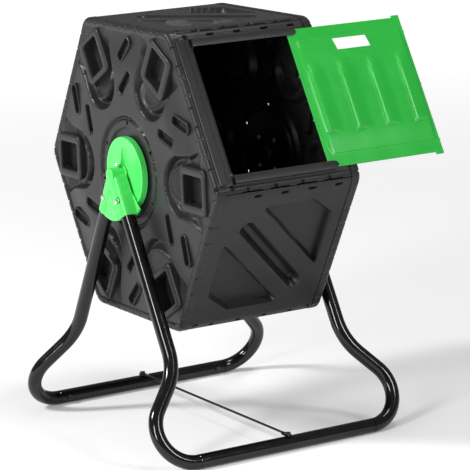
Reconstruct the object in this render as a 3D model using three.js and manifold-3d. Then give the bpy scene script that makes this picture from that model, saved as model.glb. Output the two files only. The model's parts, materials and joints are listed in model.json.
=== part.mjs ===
// Compost tumbler: a hexagonal drum on stub axles between two brackets, on a stand of bent steel tube.
// Millimetres, +Z up. The drum's axis runs along X, its door side faces -Y, and the door is open along +X.
import * as THREE from "three";
import { mergeVertices } from "three/addons/utils/BufferGeometryUtils.js";
import Module from "manifold-3d";

const wasm = await Module();
wasm.setup();

// ---- Driving dimensions ----
const axisHeight = 465; // drum axis above the ground
const drumCircumradius = 297; // axis to the sharp corner of the hexagon
const drumLength = 279; // over both end panels
const edgeRound = 28; // rounding along the six long edges
const wall = 3; // drum mouldings
const skirtDepth = 14; // how far an end panel's rim wraps round the side panels
const tongueWall = 2.2; // lips that tuck under the neighbouring moulding
const tongueReach = 9;
const tongueRoot = 10; // length of a lip's root inside its own moulding
const edgeTongueAngles = [38, 64, 76]; // an edge lip's tip, start of root and end, in degrees
const seamGap = 0.4; // between mouldings that meet
const gap = 0.3; // between any two pieces that touch
const past = 1; // how far a cutting solid runs past the face it opens

const windowFromCorner = 78; // vent window's middle, measured in from the sharp corner
const windowLength = 60; // along the radius
const windowWidth = 50;
const windowRound = 5;
const collarBand = 11; // raised rim round each window
const collarHeight = 7;
const baffleDepth = 10; // from the panel's inner face to the baffle plate
const baffleWall = 2;
const baffleOverhang = 1.5; // plate beyond the window on every side
const bafflePost = 5; // square posts at the plate's corners
const airHoleFromHub = 24.5; // ring of small air holes outside the hub disc
const airHoleRadius = 3.5;

const doorFlange = 3;
const doorRise = 5; // raised field over the flange
const doorWall = 2.5;
const doorBorder = 22; // flange left clear round the raised field
const doorLug = 4; // corner lugs beyond the long edges
const doorLugLength = 15;
const doorHeld = 18; // length of the open door that stays under the lips
const doorGap = 0.5; // under the flange, and over it below the lips
const railOverlap = 9; // lip over the door's edge on the upper side
const railOverlapLow = 12; // and on the lower side
const railLip = 2;
const railWall = 3.4;
const railSideGap = 0.6;
const railFromArc = 1.33; // from the start of the edge's rounding
const railFromEnd = 39.5; // where both rails stop, from the end of the drum
const stopWidth = 15; // bar that the closed door meets
const stopFromEnd = 7.5; // from the other end of the drum
const stopGap = 2;
const openingRound = 8;
const openingFromStop = 15; // opening's edge from the stop bar
const openingFromRailEnd = 2;
const labelLength = 66;
const labelWidth = 22;
const labelThickness = 0.5;
const labelFromEdge = 2; // below the raised field's upper edge
const labelOffset = 2.5; // along the slide from the door's middle

const hubRadius = 63.5;
const hubThickness = 12;
const hubSeat = 2.2; // ring on the end panel that carries the disc
const hubScrewCircle = 36;
const hubScrewCount = 4;
const hubHoleCap = 3; // disc left whole over a blind screw hole
const axleRadius = 8;
const axleClearance = 0.3;
const bushWall = 2.9;
const axleHeadRadius = 13;
const axleHeadHeight = 4;
const washerThickness = 1.5;
const washerMargin = 1; // beyond the axle's head

const tubeRadius = 12.5;
const tubeWall = 1.5;
const tubeSides = 10;
const barSides = 16; // a multiple of four, so that flats face down, up and sideways
const legTopGap = 3.9; // between the top of each tube and the bracket's middle plane
const footHalfDepth = 255.7; // floor bar's centreline from the middle
const flareRise = 160.4; // knee corner above the floor bar, along the leg's plane
const flareReach = 132.7; // foot corner outward of the upper leg
const kneeBend = 100;
const footBend = 60;
const spigotReach = 34; // reduced end of the leg inside the floor bar
const spigotClearance = 0.3;
const collarReach = 3; // thickened ring where the spigot starts

const bossWall = 4.8; // round the axle
const bossBelowCover = 1; // from the boss's end back to the cover's face
const bossEndWall = 5; // over the axle's tip
const sleeveWall = 1.6; // round each tube
const sleeveBack = 2.1; // behind each tube
const sleeveStart = 12;
const sleevePastCover = 4;
const coverRadius = 80;
const coverHalfAngle = 40;
const coverThickness = 2.2;
const coverRibFromEdge = 12;
const innerPlateHalfAngle = 47;
const innerPlateThickness = 3;
const hubToBracket = 1.3; // running gap between the disc and the bracket
const legScrewAt = 48; // along the leg from the axis
const legHoleFloor = 1.5; // bracket left whole under a leg screw
const setScrewBite = 2; // into the axle
const setScrewPad = 3; // raised seat on top of the boss
const gussetRise = 24; // web on top of the boss, up the face of the disc
const gussetDepth = 5; // at its foot
const gussetThickness = 2;

const screwShank = 2.5;
const screwHead = 5;
const screwHeadHeight = 3;
const screwClearance = 0.4;
const screwPastWall = 2; // inside the tube
const screwTipGap = 0.5; // between a screw's tip and the end of its hole
const braceRodRadius = 2;
const braceOffset = 2; // along X from the middle
const bracePadWidth = 14;
const bracePadThickness = 2.7;

// ---- Derived places ----
const degree = Math.PI / 180;
const apothem = drumCircumradius * Math.cos(30 * degree);
const arcMiddleY = (apothem - edgeRound) * Math.tan(30 * degree);
const arcMiddleZ = apothem - edgeRound;
const hubFace = hubSeat + gap + hubThickness;
const bracketBase = hubFace + hubToBracket;
const legStandOff = bracketBase + sleeveBack + gap + tubeRadius; // leg's centreline beyond the end panel
const sleeveRadius = tubeRadius + gap + sleeveWall;
const sleeveEnd = coverRadius + sleevePastCover;
const bossRadius = axleRadius + bossWall;
const bossHeight = legStandOff + sleeveRadius - bossBelowCover;
const axleTip = bossHeight - bossEndWall;
const setScrewHeight = (bracketBase + axleTip) / 2;
const legHalfSpan = drumLength / 2 + legStandOff;
const footCorner = legHalfSpan + flareReach;
const legPlaneLength = Math.hypot(footHalfDepth, axisHeight - tubeRadius);
const legTilt = Math.atan2(footHalfDepth, axisHeight - tubeRadius);
const legStart = (tubeRadius * Math.cos(legTilt) + legTopGap) / Math.sin(legTilt);
const kneeFromAxis = legPlaneLength - flareRise;
const footTurn = Math.PI - Math.atan2(flareRise, flareReach);
const barHalfLength = footCorner - footBend * Math.tan(footTurn / 2);
const doorWidth = 2 * (arcMiddleY - railFromArc - railWall - railSideGap);
const openingHigh = doorWidth / 2 - railOverlap;
const openingLow = railOverlapLow - doorWidth / 2;
const railEnd = drumLength / 2 - railFromEnd;
const stopStart = stopFromEnd - drumLength / 2;
const stopFace = stopStart + stopWidth;
const doorOpenStart = railEnd - doorHeld;
const doorLength = railEnd + doorHeld - stopFace - stopGap; // shut, it runs from the stop to past the rails
const openingStart = stopFace + openingFromStop;
const openingEnd = railEnd - openingFromRailEnd;
// The foot bend's widest point on one side and the open door on the other set the middle of the whole.
const footOuter = footCorner - footBend * (Math.tan(footTurn / 2) - 1) + tubeRadius;
const originShift = (doorOpenStart + doorLength - footOuter) / 2;

// ---- Finishes ----
function finish(color, roughness, metalness) {
  return new THREE.MeshStandardMaterial({ color, roughness, metalness });
}

const blackPlastic = finish(0x303132, 0.62, 0);
const doorGreen = finish(0x2fc750, 0.42, 0);
const hubGreen = finish(0x5cf07a, 0.48, 0);
const blackTube = finish(0x0d0e0d, 0.22, 0.1);
const steel = finish(0xbfc2c4, 0.3, 0.9);
const bushPlastic = finish(0xd8d6cc, 0.5, 0);
const labelWhite = finish(0xf2f2ee, 0.5, 0);

// ---- Solids ----
function solid(geometry) {
  const bare = geometry.index ? geometry.toNonIndexed() : geometry.clone();
  bare.deleteAttribute("normal");
  bare.deleteAttribute("uv");
  const merged = mergeVertices(bare, 1e-4);
  return new wasm.Manifold(
    new wasm.Mesh({
      numProp: 3,
      vertProperties: merged.attributes.position.array,
      triVerts: new Uint32Array(merged.index.array),
    }),
  );
}

function geometryOf(made) {
  const mesh = made.getMesh();
  const geometry = new THREE.BufferGeometry();
  geometry.setAttribute("position", new THREE.BufferAttribute(mesh.vertProperties, 3));
  geometry.setIndex(new THREE.BufferAttribute(mesh.triVerts, 1));
  return geometry;
}

const join = (first, ...others) => others.reduce((made, other) => made.add(other), first);
const cut = (first, ...others) => others.reduce((made, other) => made.subtract(other), first);

// A box between two opposite corners.
function block(x0, x1, y0, y1, z0, z1) {
  const box = new THREE.BoxGeometry(x1 - x0, y1 - y0, z1 - z0);
  return solid(box.translate((x0 + x1) / 2, (y0 + y1) / 2, (z0 + z1) / 2));
}

// A cylinder along local Z.
function disc(radius, z0, z1, x = 0, y = 0, sides = 24) {
  const cylinder = new THREE.CylinderGeometry(radius, radius, z1 - z0, sides);
  return solid(cylinder.rotateX(Math.PI / 2).translate(x, y, (z0 + z1) / 2));
}

// A flat outline carried along local Z.
function slab(outline, z0, z1, curveSegments = 4) {
  const settings = { depth: z1 - z0, bevelEnabled: false, curveSegments };
  return solid(new THREE.ExtrudeGeometry(outline, settings).translate(0, 0, z0));
}

// A ring sector of a flat outline, from one angle to another in degrees.
function bandOutline(x, y, inner, outer, from, to) {
  const outline = new THREE.Shape();
  outline.absarc(x, y, outer, from * degree, to * degree, false);
  outline.absarc(x, y, inner, to * degree, from * degree, true);
  outline.closePath();
  return outline;
}

function fanOutline(radius, halfAngle) {
  const outline = new THREE.Shape();
  outline.moveTo(0, 0);
  outline.absarc(0, 0, radius, (-90 - halfAngle) * degree, (-90 + halfAngle) * degree, false);
  outline.closePath();
  return outline;
}

function roundedRectangle(x0, x1, y0, y1, radius) {
  const outline = new THREE.Shape();
  outline.absarc(x1 - radius, y1 - radius, radius, 0, 90 * degree, false);
  outline.absarc(x0 + radius, y1 - radius, radius, 90 * degree, 180 * degree, false);
  outline.absarc(x0 + radius, y0 + radius, radius, 180 * degree, 270 * degree, false);
  outline.absarc(x1 - radius, y0 + radius, radius, 270 * degree, 360 * degree, false);
  outline.closePath();
  return outline;
}

// The drum's hexagon with a flat at the top, drawn a given distance inside its outer faces.
function hexagonOutline(inset) {
  const radius = edgeRound - inset;
  const middle = drumCircumradius - edgeRound / Math.cos(30 * degree);
  const outline = new THREE.Shape();
  for (let corner = 0; corner < 6; corner++) {
    const turn = corner * 60;
    outline.absarc(
      middle * Math.cos(turn * degree),
      middle * Math.sin(turn * degree),
      radius,
      (turn - 30) * degree,
      (turn + 30) * degree,
      false,
    );
  }
  outline.closePath();
  return outline;
}

// ---- Groups ----
const tumbler = new THREE.Group();
tumbler.position.x = -originShift;
const axisGroup = new THREE.Group();
axisGroup.position.z = axisHeight;
tumbler.add(axisGroup);

// The left end looks out along -X and the right end along +X; both have local Y up and local Z outwards.
const ends = ["left", "right"].map((side) => {
  const out = side === "left" ? -1 : 1;
  const group = new THREE.Group();
  const across = new THREE.Vector3(0, out, 0);
  const up = new THREE.Vector3(0, 0, 1);
  group.setRotationFromMatrix(new THREE.Matrix4().makeBasis(across, up, new THREE.Vector3(out, 0, 0)));
  group.position.x = (out * drumLength) / 2;
  axisGroup.add(group);
  return { side, out, group };
});

function place(parent, name, shape, material) {
  const mesh = new THREE.Mesh(shape.isBufferGeometry ? shape : geometryOf(shape), material);
  mesh.name = name;
  parent.add(mesh);
  return mesh;
}

// A screw along local Z with its head's seat at z = 0 and its shank below.
const screwSolid = (length) =>
  join(disc(screwHead, 0, screwHeadHeight, 0, 0, 12), disc(screwShank, -length, 0.5, 0, 0, 8));
const screwHole = (z0, z1, x, y) => disc(screwShank + screwClearance, z0, z1, x, y, 8);

// ---- End panels ----
// A vent window: a raised collar round a hole, and a baffle plate behind it held on four corner posts.
const windowRadius = drumCircumradius - windowFromCorner;

const turned = (made, turn) => solid(geometryOf(made).rotateZ(turn * degree));

function windowParts() {
  const x0 = windowRadius - windowLength / 2;
  const x1 = windowRadius + windowLength / 2;
  const y1 = windowWidth / 2;
  const band = collarBand;
  const inside = roundedRectangle(x0, x1, -y1, y1, windowRound);
  const outside = roundedRectangle(x0 - band, x1 + band, -y1 - band, y1 + band, windowRound + band);
  const hole = slab(inside, -wall - past, collarHeight + past, 2);
  const collar = slab(outside, -wall, collarHeight, 2);
  const front = -wall - baffleDepth;
  const [px0, px1, py1] = [x0 - baffleOverhang, x1 + baffleOverhang, y1 + baffleOverhang];
  const plate = block(px0, px1, -py1, py1, front - baffleWall, front);
  const posts = [px0, px1 - bafflePost].flatMap((x) =>
    [-py1, py1 - bafflePost].map((y) =>
      block(x, x + bafflePost, y, y + bafflePost, front - baffleWall / 2, -wall / 2),
    ),
  );
  return { hole, added: join(collar, plate, ...posts) };
}

function endPanel() {
  const inner = -wall;
  let panel = slab(hexagonOutline(0), -skirtDepth, 0);
  panel = cut(panel, slab(hexagonOutline(wall), -skirtDepth - past, inner));
  panel = join(panel, disc(hubRadius, inner / 2, hubSeat));
  const airHoleCircle = hubRadius + airHoleFromHub;
  const vent = windowParts();
  for (let corner = 0; corner < 6; corner++) {
    const turn = corner * 60;
    panel = cut(join(panel, turned(vent.added, turn)), turned(vent.hole, turn));
    const holeTurn = (turn + 30) * degree;
    const hole = disc(
      airHoleRadius,
      inner - past,
      past,
      airHoleCircle * Math.cos(holeTurn),
      airHoleCircle * Math.sin(holeTurn),
      8,
    );
    panel = cut(panel, hole);
  }
  for (const [x, y] of hubScrewPlaces()) {
    panel = cut(panel, screwHole(inner - past, hubSeat + past, x, y));
  }
  return cut(panel, disc(axleRadius + 2 * axleClearance, inner - past, hubSeat + past));
}

function hubScrewPlaces() {
  return Array.from({ length: hubScrewCount }, (_, i) => {
    const turn = (45 + (i * 360) / hubScrewCount) * degree;
    return [hubScrewCircle * Math.cos(turn), hubScrewCircle * Math.sin(turn)];
  });
}

// ---- Hub discs, bushes, axles ----
const hubScrewLength = wall + gap + hubFace - hubHoleCap - screwTipGap;

function hubDisc() {
  const base = hubSeat + gap;
  let hub = disc(hubRadius, base, hubFace, 0, 0, 48);
  hub = cut(hub, disc(axleRadius + axleClearance + bushWall + gap, base - past, hubFace + past));
  for (const [x, y] of hubScrewPlaces()) {
    hub = cut(hub, screwHole(base - past, hubFace - hubHoleCap, x, y));
  }
  return hub;
}

const bush = () =>
  cut(
    disc(axleRadius + axleClearance + bushWall, hubSeat + gap, hubFace),
    disc(axleRadius + axleClearance, hubSeat, hubFace + past),
  );

const washerBack = -wall - gap - washerThickness;

const washer = () =>
  cut(
    disc(axleHeadRadius + washerMargin, washerBack, -wall - gap),
    disc(axleRadius + axleClearance, washerBack - past, 0),
  );

function axle() {
  const headTop = washerBack - gap;
  const whole = join(
    disc(axleHeadRadius, headTop - axleHeadHeight, headTop, 0, 0, 6),
    disc(axleRadius, headTop - axleHeadHeight / 2, axleTip),
  );
  const dimple = axleRadius - setScrewBite - screwTipGap;
  return cut(whole, setScrewBore(screwShank + screwClearance, dimple, axleRadius + past));
}

// A cylinder along local Y at the set screw's distance from the panel.
function setScrewBore(radius, y0, y1) {
  const bore = new THREE.CylinderGeometry(radius, radius, y1 - y0, 8);
  return solid(bore.translate(0, (y0 + y1) / 2, setScrewHeight));
}

// ---- Brackets ----
// A cylinder that starts on the axis line and runs down one leg, at the leg's distance from the panel.
function downLeg(radius, from, to, turn) {
  const cylinder = new THREE.CylinderGeometry(radius, radius, to - from, 18);
  cylinder.translate(0, -(from + to) / 2, 0);
  cylinder.rotateZ(turn);
  return solid(cylinder.translate(0, 0, legStandOff));
}

const legTurns = [-legTilt, legTilt];

// A hole or a place for a leg screw, at its distance down the leg.
const legScrewPlace = (turn) => [legScrewAt * Math.sin(turn), -legScrewAt * Math.cos(turn)];

function bracketOutside() {
  const coverTop = legStandOff + sleeveRadius;
  const sleeves = legTurns.map((turn) => downLeg(sleeveRadius, sleeveStart, sleeveEnd, turn));
  const cover = slab(fanOutline(coverRadius, coverHalfAngle), coverTop - coverThickness, coverTop, 8);
  const ribEnd = coverRibFromEdge - coverRadius;
  const rib = block(-coverThickness / 2, coverThickness / 2, ribEnd, 0, legStandOff, coverTop);
  return join(sleeves[0], sleeves[1], cover, rib);
}

function bracketPockets() {
  const pocketTop = legStart - gap;
  const pockets = legTurns.map((turn) => downLeg(tubeRadius + gap, pocketTop, sleeveEnd + past, turn));
  const floor = bracketBase + legHoleFloor;
  const holes = legTurns.map((turn) => screwHole(floor, bossHeight + past, ...legScrewPlace(turn)));
  return [...pockets, ...holes];
}

const far = 2 * coverRadius;

// A web in the upright plane through the axis, from the boss's top up the face of the disc.
function gusset() {
  const foot = bossRadius - bossWall / 2;
  const outline = new THREE.Shape();
  outline.moveTo(bracketBase, foot);
  outline.lineTo(bracketBase + gussetDepth, foot);
  outline.lineTo(bracketBase + gussetDepth, bossRadius);
  outline.lineTo(bracketBase + past, bossRadius + gussetRise);
  outline.lineTo(bracketBase, bossRadius + gussetRise);
  outline.closePath();
  const settings = { depth: gussetThickness, bevelEnabled: false };
  const web = new THREE.ExtrudeGeometry(outline, settings).translate(0, 0, -gussetThickness / 2);
  return solid(web.rotateY(-Math.PI / 2));
}

function bracketOuter() {
  const half = cut(bracketOutside(), block(-far, far, -far, far, -far, legStandOff + seamGap / 2));
  const pad = setScrewBore(screwHead - 1, bossRadius - bossWall / 2, bossRadius + setScrewPad);
  const whole = join(half, disc(bossRadius, bracketBase, bossHeight), pad, gusset());
  const axleHole = disc(axleRadius + gap, bracketBase - past, axleTip + gap);
  const made = cut(whole, ...bracketPockets(), axleHole);
  const boreEnd = bossRadius + setScrewPad + past;
  return cut(made, setScrewBore(screwShank + screwClearance, axleRadius - past, boreEnd));
}

function bracketInner() {
  const fan = fanOutline(coverRadius, innerPlateHalfAngle);
  const plate = slab(fan, bracketBase, bracketBase + innerPlateThickness, 8);
  const whole = join(bracketOutside(), plate);
  const half = cut(
    whole,
    block(-far, far, -far, far, legStandOff - seamGap / 2, far),
    block(-far, far, -far, far, -far, bracketBase),
  );
  return cut(half, ...bracketPockets(), disc(bossRadius + gap, bracketBase - past, far));
}

const legScrewSeat = legStandOff + sleeveRadius + gap;
const legScrewLength = legScrewSeat - bracketBase - legHoleFloor - screwTipGap;
const setScrewSeat = bossRadius + setScrewPad + gap;
const setScrewLength = setScrewSeat - axleRadius + setScrewBite;

for (const { side, group } of ends) {
  place(group, `end_panel_${side}`, endPanel(), blackPlastic);
  place(group, `hub_disc_${side}`, hubDisc(), hubGreen);
  place(group, `hub_bush_${side}`, bush(), bushPlastic);
  place(group, `axle_${side}`, axle(), steel);
  place(group, `axle_washer_${side}`, washer(), steel);
  place(group, `bracket_outer_${side}`, bracketOuter(), hubGreen);
  place(group, `bracket_inner_${side}`, bracketInner(), hubGreen);

  const setScrew = place(group, `set_screw_${side}`, screwSolid(setScrewLength), steel);
  setScrew.rotation.x = -Math.PI / 2;
  setScrew.position.set(0, setScrewSeat, setScrewHeight);

  hubScrewPlaces().forEach(([x, y], i) => {
    const screw = place(group, `hub_screw_${side}_${i + 1}`, screwSolid(hubScrewLength), steel);
    screw.rotation.x = Math.PI;
    screw.position.set(x, y, -wall - gap);
  });
}

for (const { side, out, group } of ends) {
  for (const turn of legTurns) {
    const leg = turn * out > 0 ? "rear" : "front";
    const screw = place(group, `leg_screw_${leg}_${side}`, screwSolid(legScrewLength), steel);
    screw.position.set(...legScrewPlace(turn), legScrewSeat);
  }
}

// ---- Side panels ----
// Each panel has local X along the drum, local Y across the panel and local Z outwards. It ends in half of
// the rounding at each edge, with lips that tuck under the next panel and under both end panels' rims.
const panelLength = drumLength - 2 * skirtDepth - 2 * seamGap;
const mitreGap = seamGap / 2 / edgeRound / degree;
const tongueOuter = edgeRound - wall - seamGap;
const tongueInner = tongueOuter - tongueWall;

// Turns an outline drawn in Y and Z into a solid of a given length along X.
function alongX(outline, length) {
  const settings = { depth: length, bevelEnabled: false, curveSegments: 3 };
  const extruded = new THREE.ExtrudeGeometry(outline, settings);
  extruded.translate(0, 0, -length / 2);
  const basis = new THREE.Matrix4().makeBasis(
    new THREE.Vector3(0, 1, 0),
    new THREE.Vector3(0, 0, 1),
    new THREE.Vector3(1, 0, 0),
  );
  return solid(extruded.applyMatrix4(basis));
}

function panelOutline() {
  const outline = new THREE.Shape();
  outline.absarc(arcMiddleY, arcMiddleZ, edgeRound, (60 + mitreGap) * degree, 90 * degree, false);
  outline.absarc(-arcMiddleY, arcMiddleZ, edgeRound, 90 * degree, (120 - mitreGap) * degree, false);
  outline.absarc(-arcMiddleY, arcMiddleZ, edgeRound - wall, (120 - mitreGap) * degree, 90 * degree, true);
  outline.absarc(arcMiddleY, arcMiddleZ, edgeRound - wall, 90 * degree, (60 + mitreGap) * degree, true);
  outline.closePath();
  return outline;
}

// Lips that reach past this panel's end, each on a thicker root inside the panel.
function endTongues(way) {
  const top = apothem - wall - seamGap;
  const half = arcMiddleY - edgeRound;
  const end = panelLength / 2;
  const ordered = (a, b) => [Math.min(way * a, way * b), Math.max(way * a, way * b)];
  const [near, tip] = ordered(end - tongueRoot, end + tongueReach);
  const [low, high] = ordered(end - tongueRoot, end - past);
  return [
    block(near, tip, -half, half, top - tongueWall, top),
    block(low, high, -half, half, top - tongueWall / 2, apothem - wall + past),
  ];
}

function sidePanel() {
  const [from, rootFrom, to] = edgeTongueAngles;
  const tongue = bandOutline(arcMiddleY, arcMiddleZ, tongueInner, tongueOuter, from, to);
  const root = bandOutline(arcMiddleY, arcMiddleZ, tongueInner, edgeRound - wall + past, rootFrom, to);
  return join(
    alongX(panelOutline(), panelLength),
    alongX(tongue, panelLength),
    alongX(root, panelLength),
    ...endTongues(-1),
    ...endTongues(1),
  );
}

// The rails are channels that hold the door's long edges; a stop bar joins them at the closed end.
function doorFramePanel() {
  const lipLow = apothem + 2 * doorGap + doorFlange;
  const lipTop = lipLow + railLip;
  const channel = doorWidth / 2 + railSideGap;
  const outside = channel + railWall;
  const start = stopStart;
  const over = apothem + gap; // what reaches past this panel stays clear of the end panel's rim
  const rootStart = past - panelLength / 2;
  const rootTop = over + railLip / 2;
  const root = (x1, y0, y1) => block(rootStart, x1, y0, y1, apothem - wall / 2, rootTop);
  const opening = roundedRectangle(openingStart, openingEnd, openingLow, openingHigh, openingRound);
  return cut(
    join(
      sidePanel(),
      block(start, railEnd, channel, outside, over, lipTop),
      block(start, railEnd, -outside, -channel, over, lipTop),
      block(start, railEnd, openingHigh, outside, lipLow, lipTop),
      block(start, railEnd, -outside, openingLow, lipLow, lipTop),
      block(start, stopFace, -outside, outside, over, lipLow + railLip / 2),
      root(railEnd, channel, outside),
      root(railEnd, -outside, -channel),
      root(stopFace, -outside, outside),
    ),
    slab(opening, arcMiddleZ, apothem + past),
  );
}

const panelTurns = {
  side_panel_top: 0,
  door_frame_panel: 60,
  side_panel_front_lower: 120,
  side_panel_bottom: 180,
  side_panel_rear_lower: 240,
  side_panel_rear_upper: 300,
};
const panelGroups = {};
for (const [name, turn] of Object.entries(panelTurns)) {
  const group = new THREE.Group();
  group.rotation.x = turn * degree;
  axisGroup.add(group);
  panelGroups[name] = group;
  place(group, name, name === "door_frame_panel" ? doorFramePanel() : sidePanel(), blackPlastic);
}

// ---- Sliding door ----
const doorBase = apothem + doorGap;
const doorTop = doorBase + doorFlange + doorRise;

function slidingDoor() {
  const end = doorOpenStart + doorLength;
  const half = doorWidth / 2;
  const [x0, x1] = [doorOpenStart + doorBorder, end - doorBorder / 2];
  const y1 = half - doorBorder;
  const lugStart = end - doorLugLength;
  const lugs = block(lugStart, end, -half - doorLug, half + doorLug, doorBase, doorBase + doorFlange);
  const raised = slab(roundedRectangle(x0, x1, -y1, y1, openingRound), doorBase, doorTop);
  const [inX0, inX1, inY1] = [x0 + doorWall, x1 - doorWall, y1 - doorWall];
  const hollow = roundedRectangle(inX0, inX1, -inY1, inY1, openingRound - doorWall);
  const underside = slab(hollow, doorBase - past, doorTop - doorWall);
  const flange = block(doorOpenStart, end, -half, half, doorBase, doorBase + doorFlange);
  return cut(join(flange, lugs, raised), underside);
}

function doorLabel() {
  const middle = doorOpenStart + doorLength / 2 + labelOffset;
  const half = labelLength / 2;
  const top = doorWidth / 2 - doorBorder - labelFromEdge;
  const low = doorTop + gap;
  return block(middle - half, middle + half, top - labelWidth, top, low, low + labelThickness);
}

place(panelGroups.door_frame_panel, "sliding_door", slidingDoor(), doorGreen);
place(panelGroups.door_frame_panel, "door_label", doorLabel(), labelWhite);

// ---- Stand ----
// A bent tube's centreline: straight runs joined by arcs, with a station at every change of direction.
class BentRoute extends THREE.Curve {
  constructor(stations) {
    super();
    this.stations = stations;
  }

  between(t, key) {
    const at = t * (this.stations.length - 1);
    const low = Math.min(Math.floor(at + 1e-9), this.stations.length - 2);
    return this.stations[low][key].clone().lerp(this.stations[low + 1][key], at - low);
  }

  getPoint(t) {
    return this.between(t, "point");
  }

  getTangent(t) {
    return this.between(t, "tangent").normalize();
  }

  getUtoTmapping(u) {
    return u;
  }
}

const bendStep = 15 * degree;

// Stations along the corners of a route in one plane, each inner corner rounded to its own radius.
function bentRoute(corners, radii) {
  const stations = [{ point: corners[0], tangent: corners[1].clone().sub(corners[0]).normalize() }];
  radii.forEach((radius, i) => {
    const corner = corners[i + 1];
    const into = corner.clone().sub(corners[i]).normalize();
    const away = corners[i + 2].clone().sub(corner).normalize();
    const turn = into.angleTo(away);
    const start = corner.clone().addScaledVector(into, -radius * Math.tan(turn / 2));
    const inward = away.clone().addScaledVector(into, -away.dot(into)).normalize();
    const steps = Math.ceil(turn / bendStep);
    for (let k = 0; k <= steps; k++) {
      const angle = (turn * k) / steps;
      const point = start
        .clone()
        .addScaledVector(into, radius * Math.sin(angle))
        .addScaledVector(inward, radius * (1 - Math.cos(angle)));
      const tangent = into.clone().multiplyScalar(Math.cos(angle)).addScaledVector(inward, Math.sin(angle));
      stations.push({ point, tangent });
    }
  });
  const end = corners[corners.length - 1];
  const last = stations[stations.length - 1];
  if (end.distanceTo(last.point) > 1) stations.push({ point: end, tangent: last.tangent });
  return new BentRoute(stations);
}

// The corners of a regular polygon.
function polygon(radius, sides) {
  return Array.from({ length: sides }, (_, i) => {
    const angle = (i * 2 * Math.PI) / sides;
    return new THREE.Vector2(radius * Math.cos(angle), radius * Math.sin(angle));
  });
}

function bentTube(route) {
  const section = new THREE.Shape(polygon(tubeRadius, tubeSides));
  section.holes.push(new THREE.Path(polygon(tubeRadius - tubeWall, tubeSides)));
  const steps = route.stations.length - 1;
  return solid(new THREE.ExtrudeGeometry(section, { steps, bevelEnabled: false, extrudePath: route }));
}

// A cylinder along X with a flat facing straight down.
function rodAlongX(radius, x0, x1, z, sides) {
  const rod = new THREE.CylinderGeometry(radius, radius, Math.abs(x1 - x0), sides);
  rod.rotateY(Math.PI / sides).rotateZ(-Math.PI / 2);
  return solid(rod.translate((x0 + x1) / 2, 0, z));
}

function pipe(outer, inner, x0, x1, z, sides = tubeSides) {
  const beyond = past * Math.sign(x1 - x0);
  return cut(rodAlongX(outer, x0, x1, z, sides), rodAlongX(inner, x0 - beyond, x1 + beyond, z, sides));
}

const spigotOuter = tubeRadius - tubeWall - spigotClearance;
const jointScrewAt = barHalfLength - spigotReach / 2;
const barEnd = barHalfLength - gap;

// A leg in its own plane: local X is the tumbler's X and local -Z runs down the leg. Its foot end narrows
// to a spigot that plugs into the floor bar. screwWay points from the joint's middle to its screw.
function legSolid(out, screwWay) {
  const low = -legPlaneLength;
  const corners = [
    new THREE.Vector3(out * legHalfSpan, 0, -legStart),
    new THREE.Vector3(out * legHalfSpan, 0, -kneeFromAxis),
    new THREE.Vector3(out * footCorner, 0, low),
    new THREE.Vector3(out * barHalfLength, 0, low),
  ];
  const bore = spigotOuter - tubeWall;
  const spigot = pipe(spigotOuter, bore, out * (barEnd - spigotReach), out * (barHalfLength + past), low);
  const collarEnd = out * (barHalfLength + collarReach);
  const collar = pipe(tubeRadius - tubeWall / 2, bore, out * barHalfLength, collarEnd, low);
  const drill = screwShank + screwClearance;
  const bracketHole = new THREE.CylinderGeometry(drill, drill, 4 * tubeRadius, 8);
  bracketHole.rotateZ(Math.PI / 2).translate(out * legHalfSpan, 0, -legScrewAt);
  const jointHole = new THREE.CylinderGeometry(drill, drill, 2 * tubeRadius, 8);
  jointHole.translate(0, tubeRadius, 0);
  const upright = new THREE.Vector3(0, 1, 0);
  jointHole.applyQuaternion(new THREE.Quaternion().setFromUnitVectors(upright, screwWay));
  jointHole.translate(out * jointScrewAt, 0, low);
  const tube = bentTube(bentRoute(corners, [kneeBend, footBend]));
  return cut(join(tube, spigot, collar), solid(bracketHole), solid(jointHole));
}

// A floor bar along X, bored for the joint screws on its inner side and for the brace screw on top.
function floorBar(screwSide) {
  const drill = screwShank + screwClearance;
  const toOuter = 1 / Math.cos(Math.PI / barSides);
  const bar = pipe(tubeRadius * toOuter, (tubeRadius - tubeWall) * toOuter, -barEnd, barEnd, 0, barSides);
  const jointHoles = [-1, 1].map((out) => {
    const hole = new THREE.CylinderGeometry(drill, drill, 2 * tubeRadius, 8);
    return solid(hole.translate(out * jointScrewAt, screwSide * tubeRadius, 0));
  });
  return cut(bar, ...jointHoles, disc(drill, 0, 2 * tubeRadius, braceOffset, 0, 8));
}

const jointScrewLength = 2 * tubeWall + spigotClearance + gap + screwPastWall;
const braceScrewLength = bracePadThickness + tubeWall + 2 * gap + screwPastWall;
const braceBase = 2 * tubeRadius + gap;

for (const [name, way] of [["front", -1], ["rear", 1]]) {
  const plane = new THREE.Group();
  plane.rotation.x = way * legTilt;
  axisGroup.add(plane);
  const screwWay = new THREE.Vector3(0, -way * Math.cos(legTilt), Math.sin(legTilt));
  const foot = new THREE.Group();
  foot.position.set(0, way * footHalfDepth, tubeRadius);
  tumbler.add(foot);
  place(foot, `${name}_floor_bar`, floorBar(-way), blackTube);
  for (const { side, out } of ends) {
    place(plane, `${name}_leg_${side}`, legSolid(out, screwWay), blackTube);
    const screw = place(foot, `joint_screw_${name}_${side}`, screwSolid(jointScrewLength), steel);
    screw.rotation.x = (way * Math.PI) / 2;
    screw.position.set(out * jointScrewAt, -way * (tubeRadius + gap), 0);
  }
  const braceScrew = place(tumbler, `brace_screw_${name}`, screwSolid(braceScrewLength), steel);
  braceScrew.position.set(braceOffset, way * footHalfDepth, braceBase + bracePadThickness + gap);
}

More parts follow.
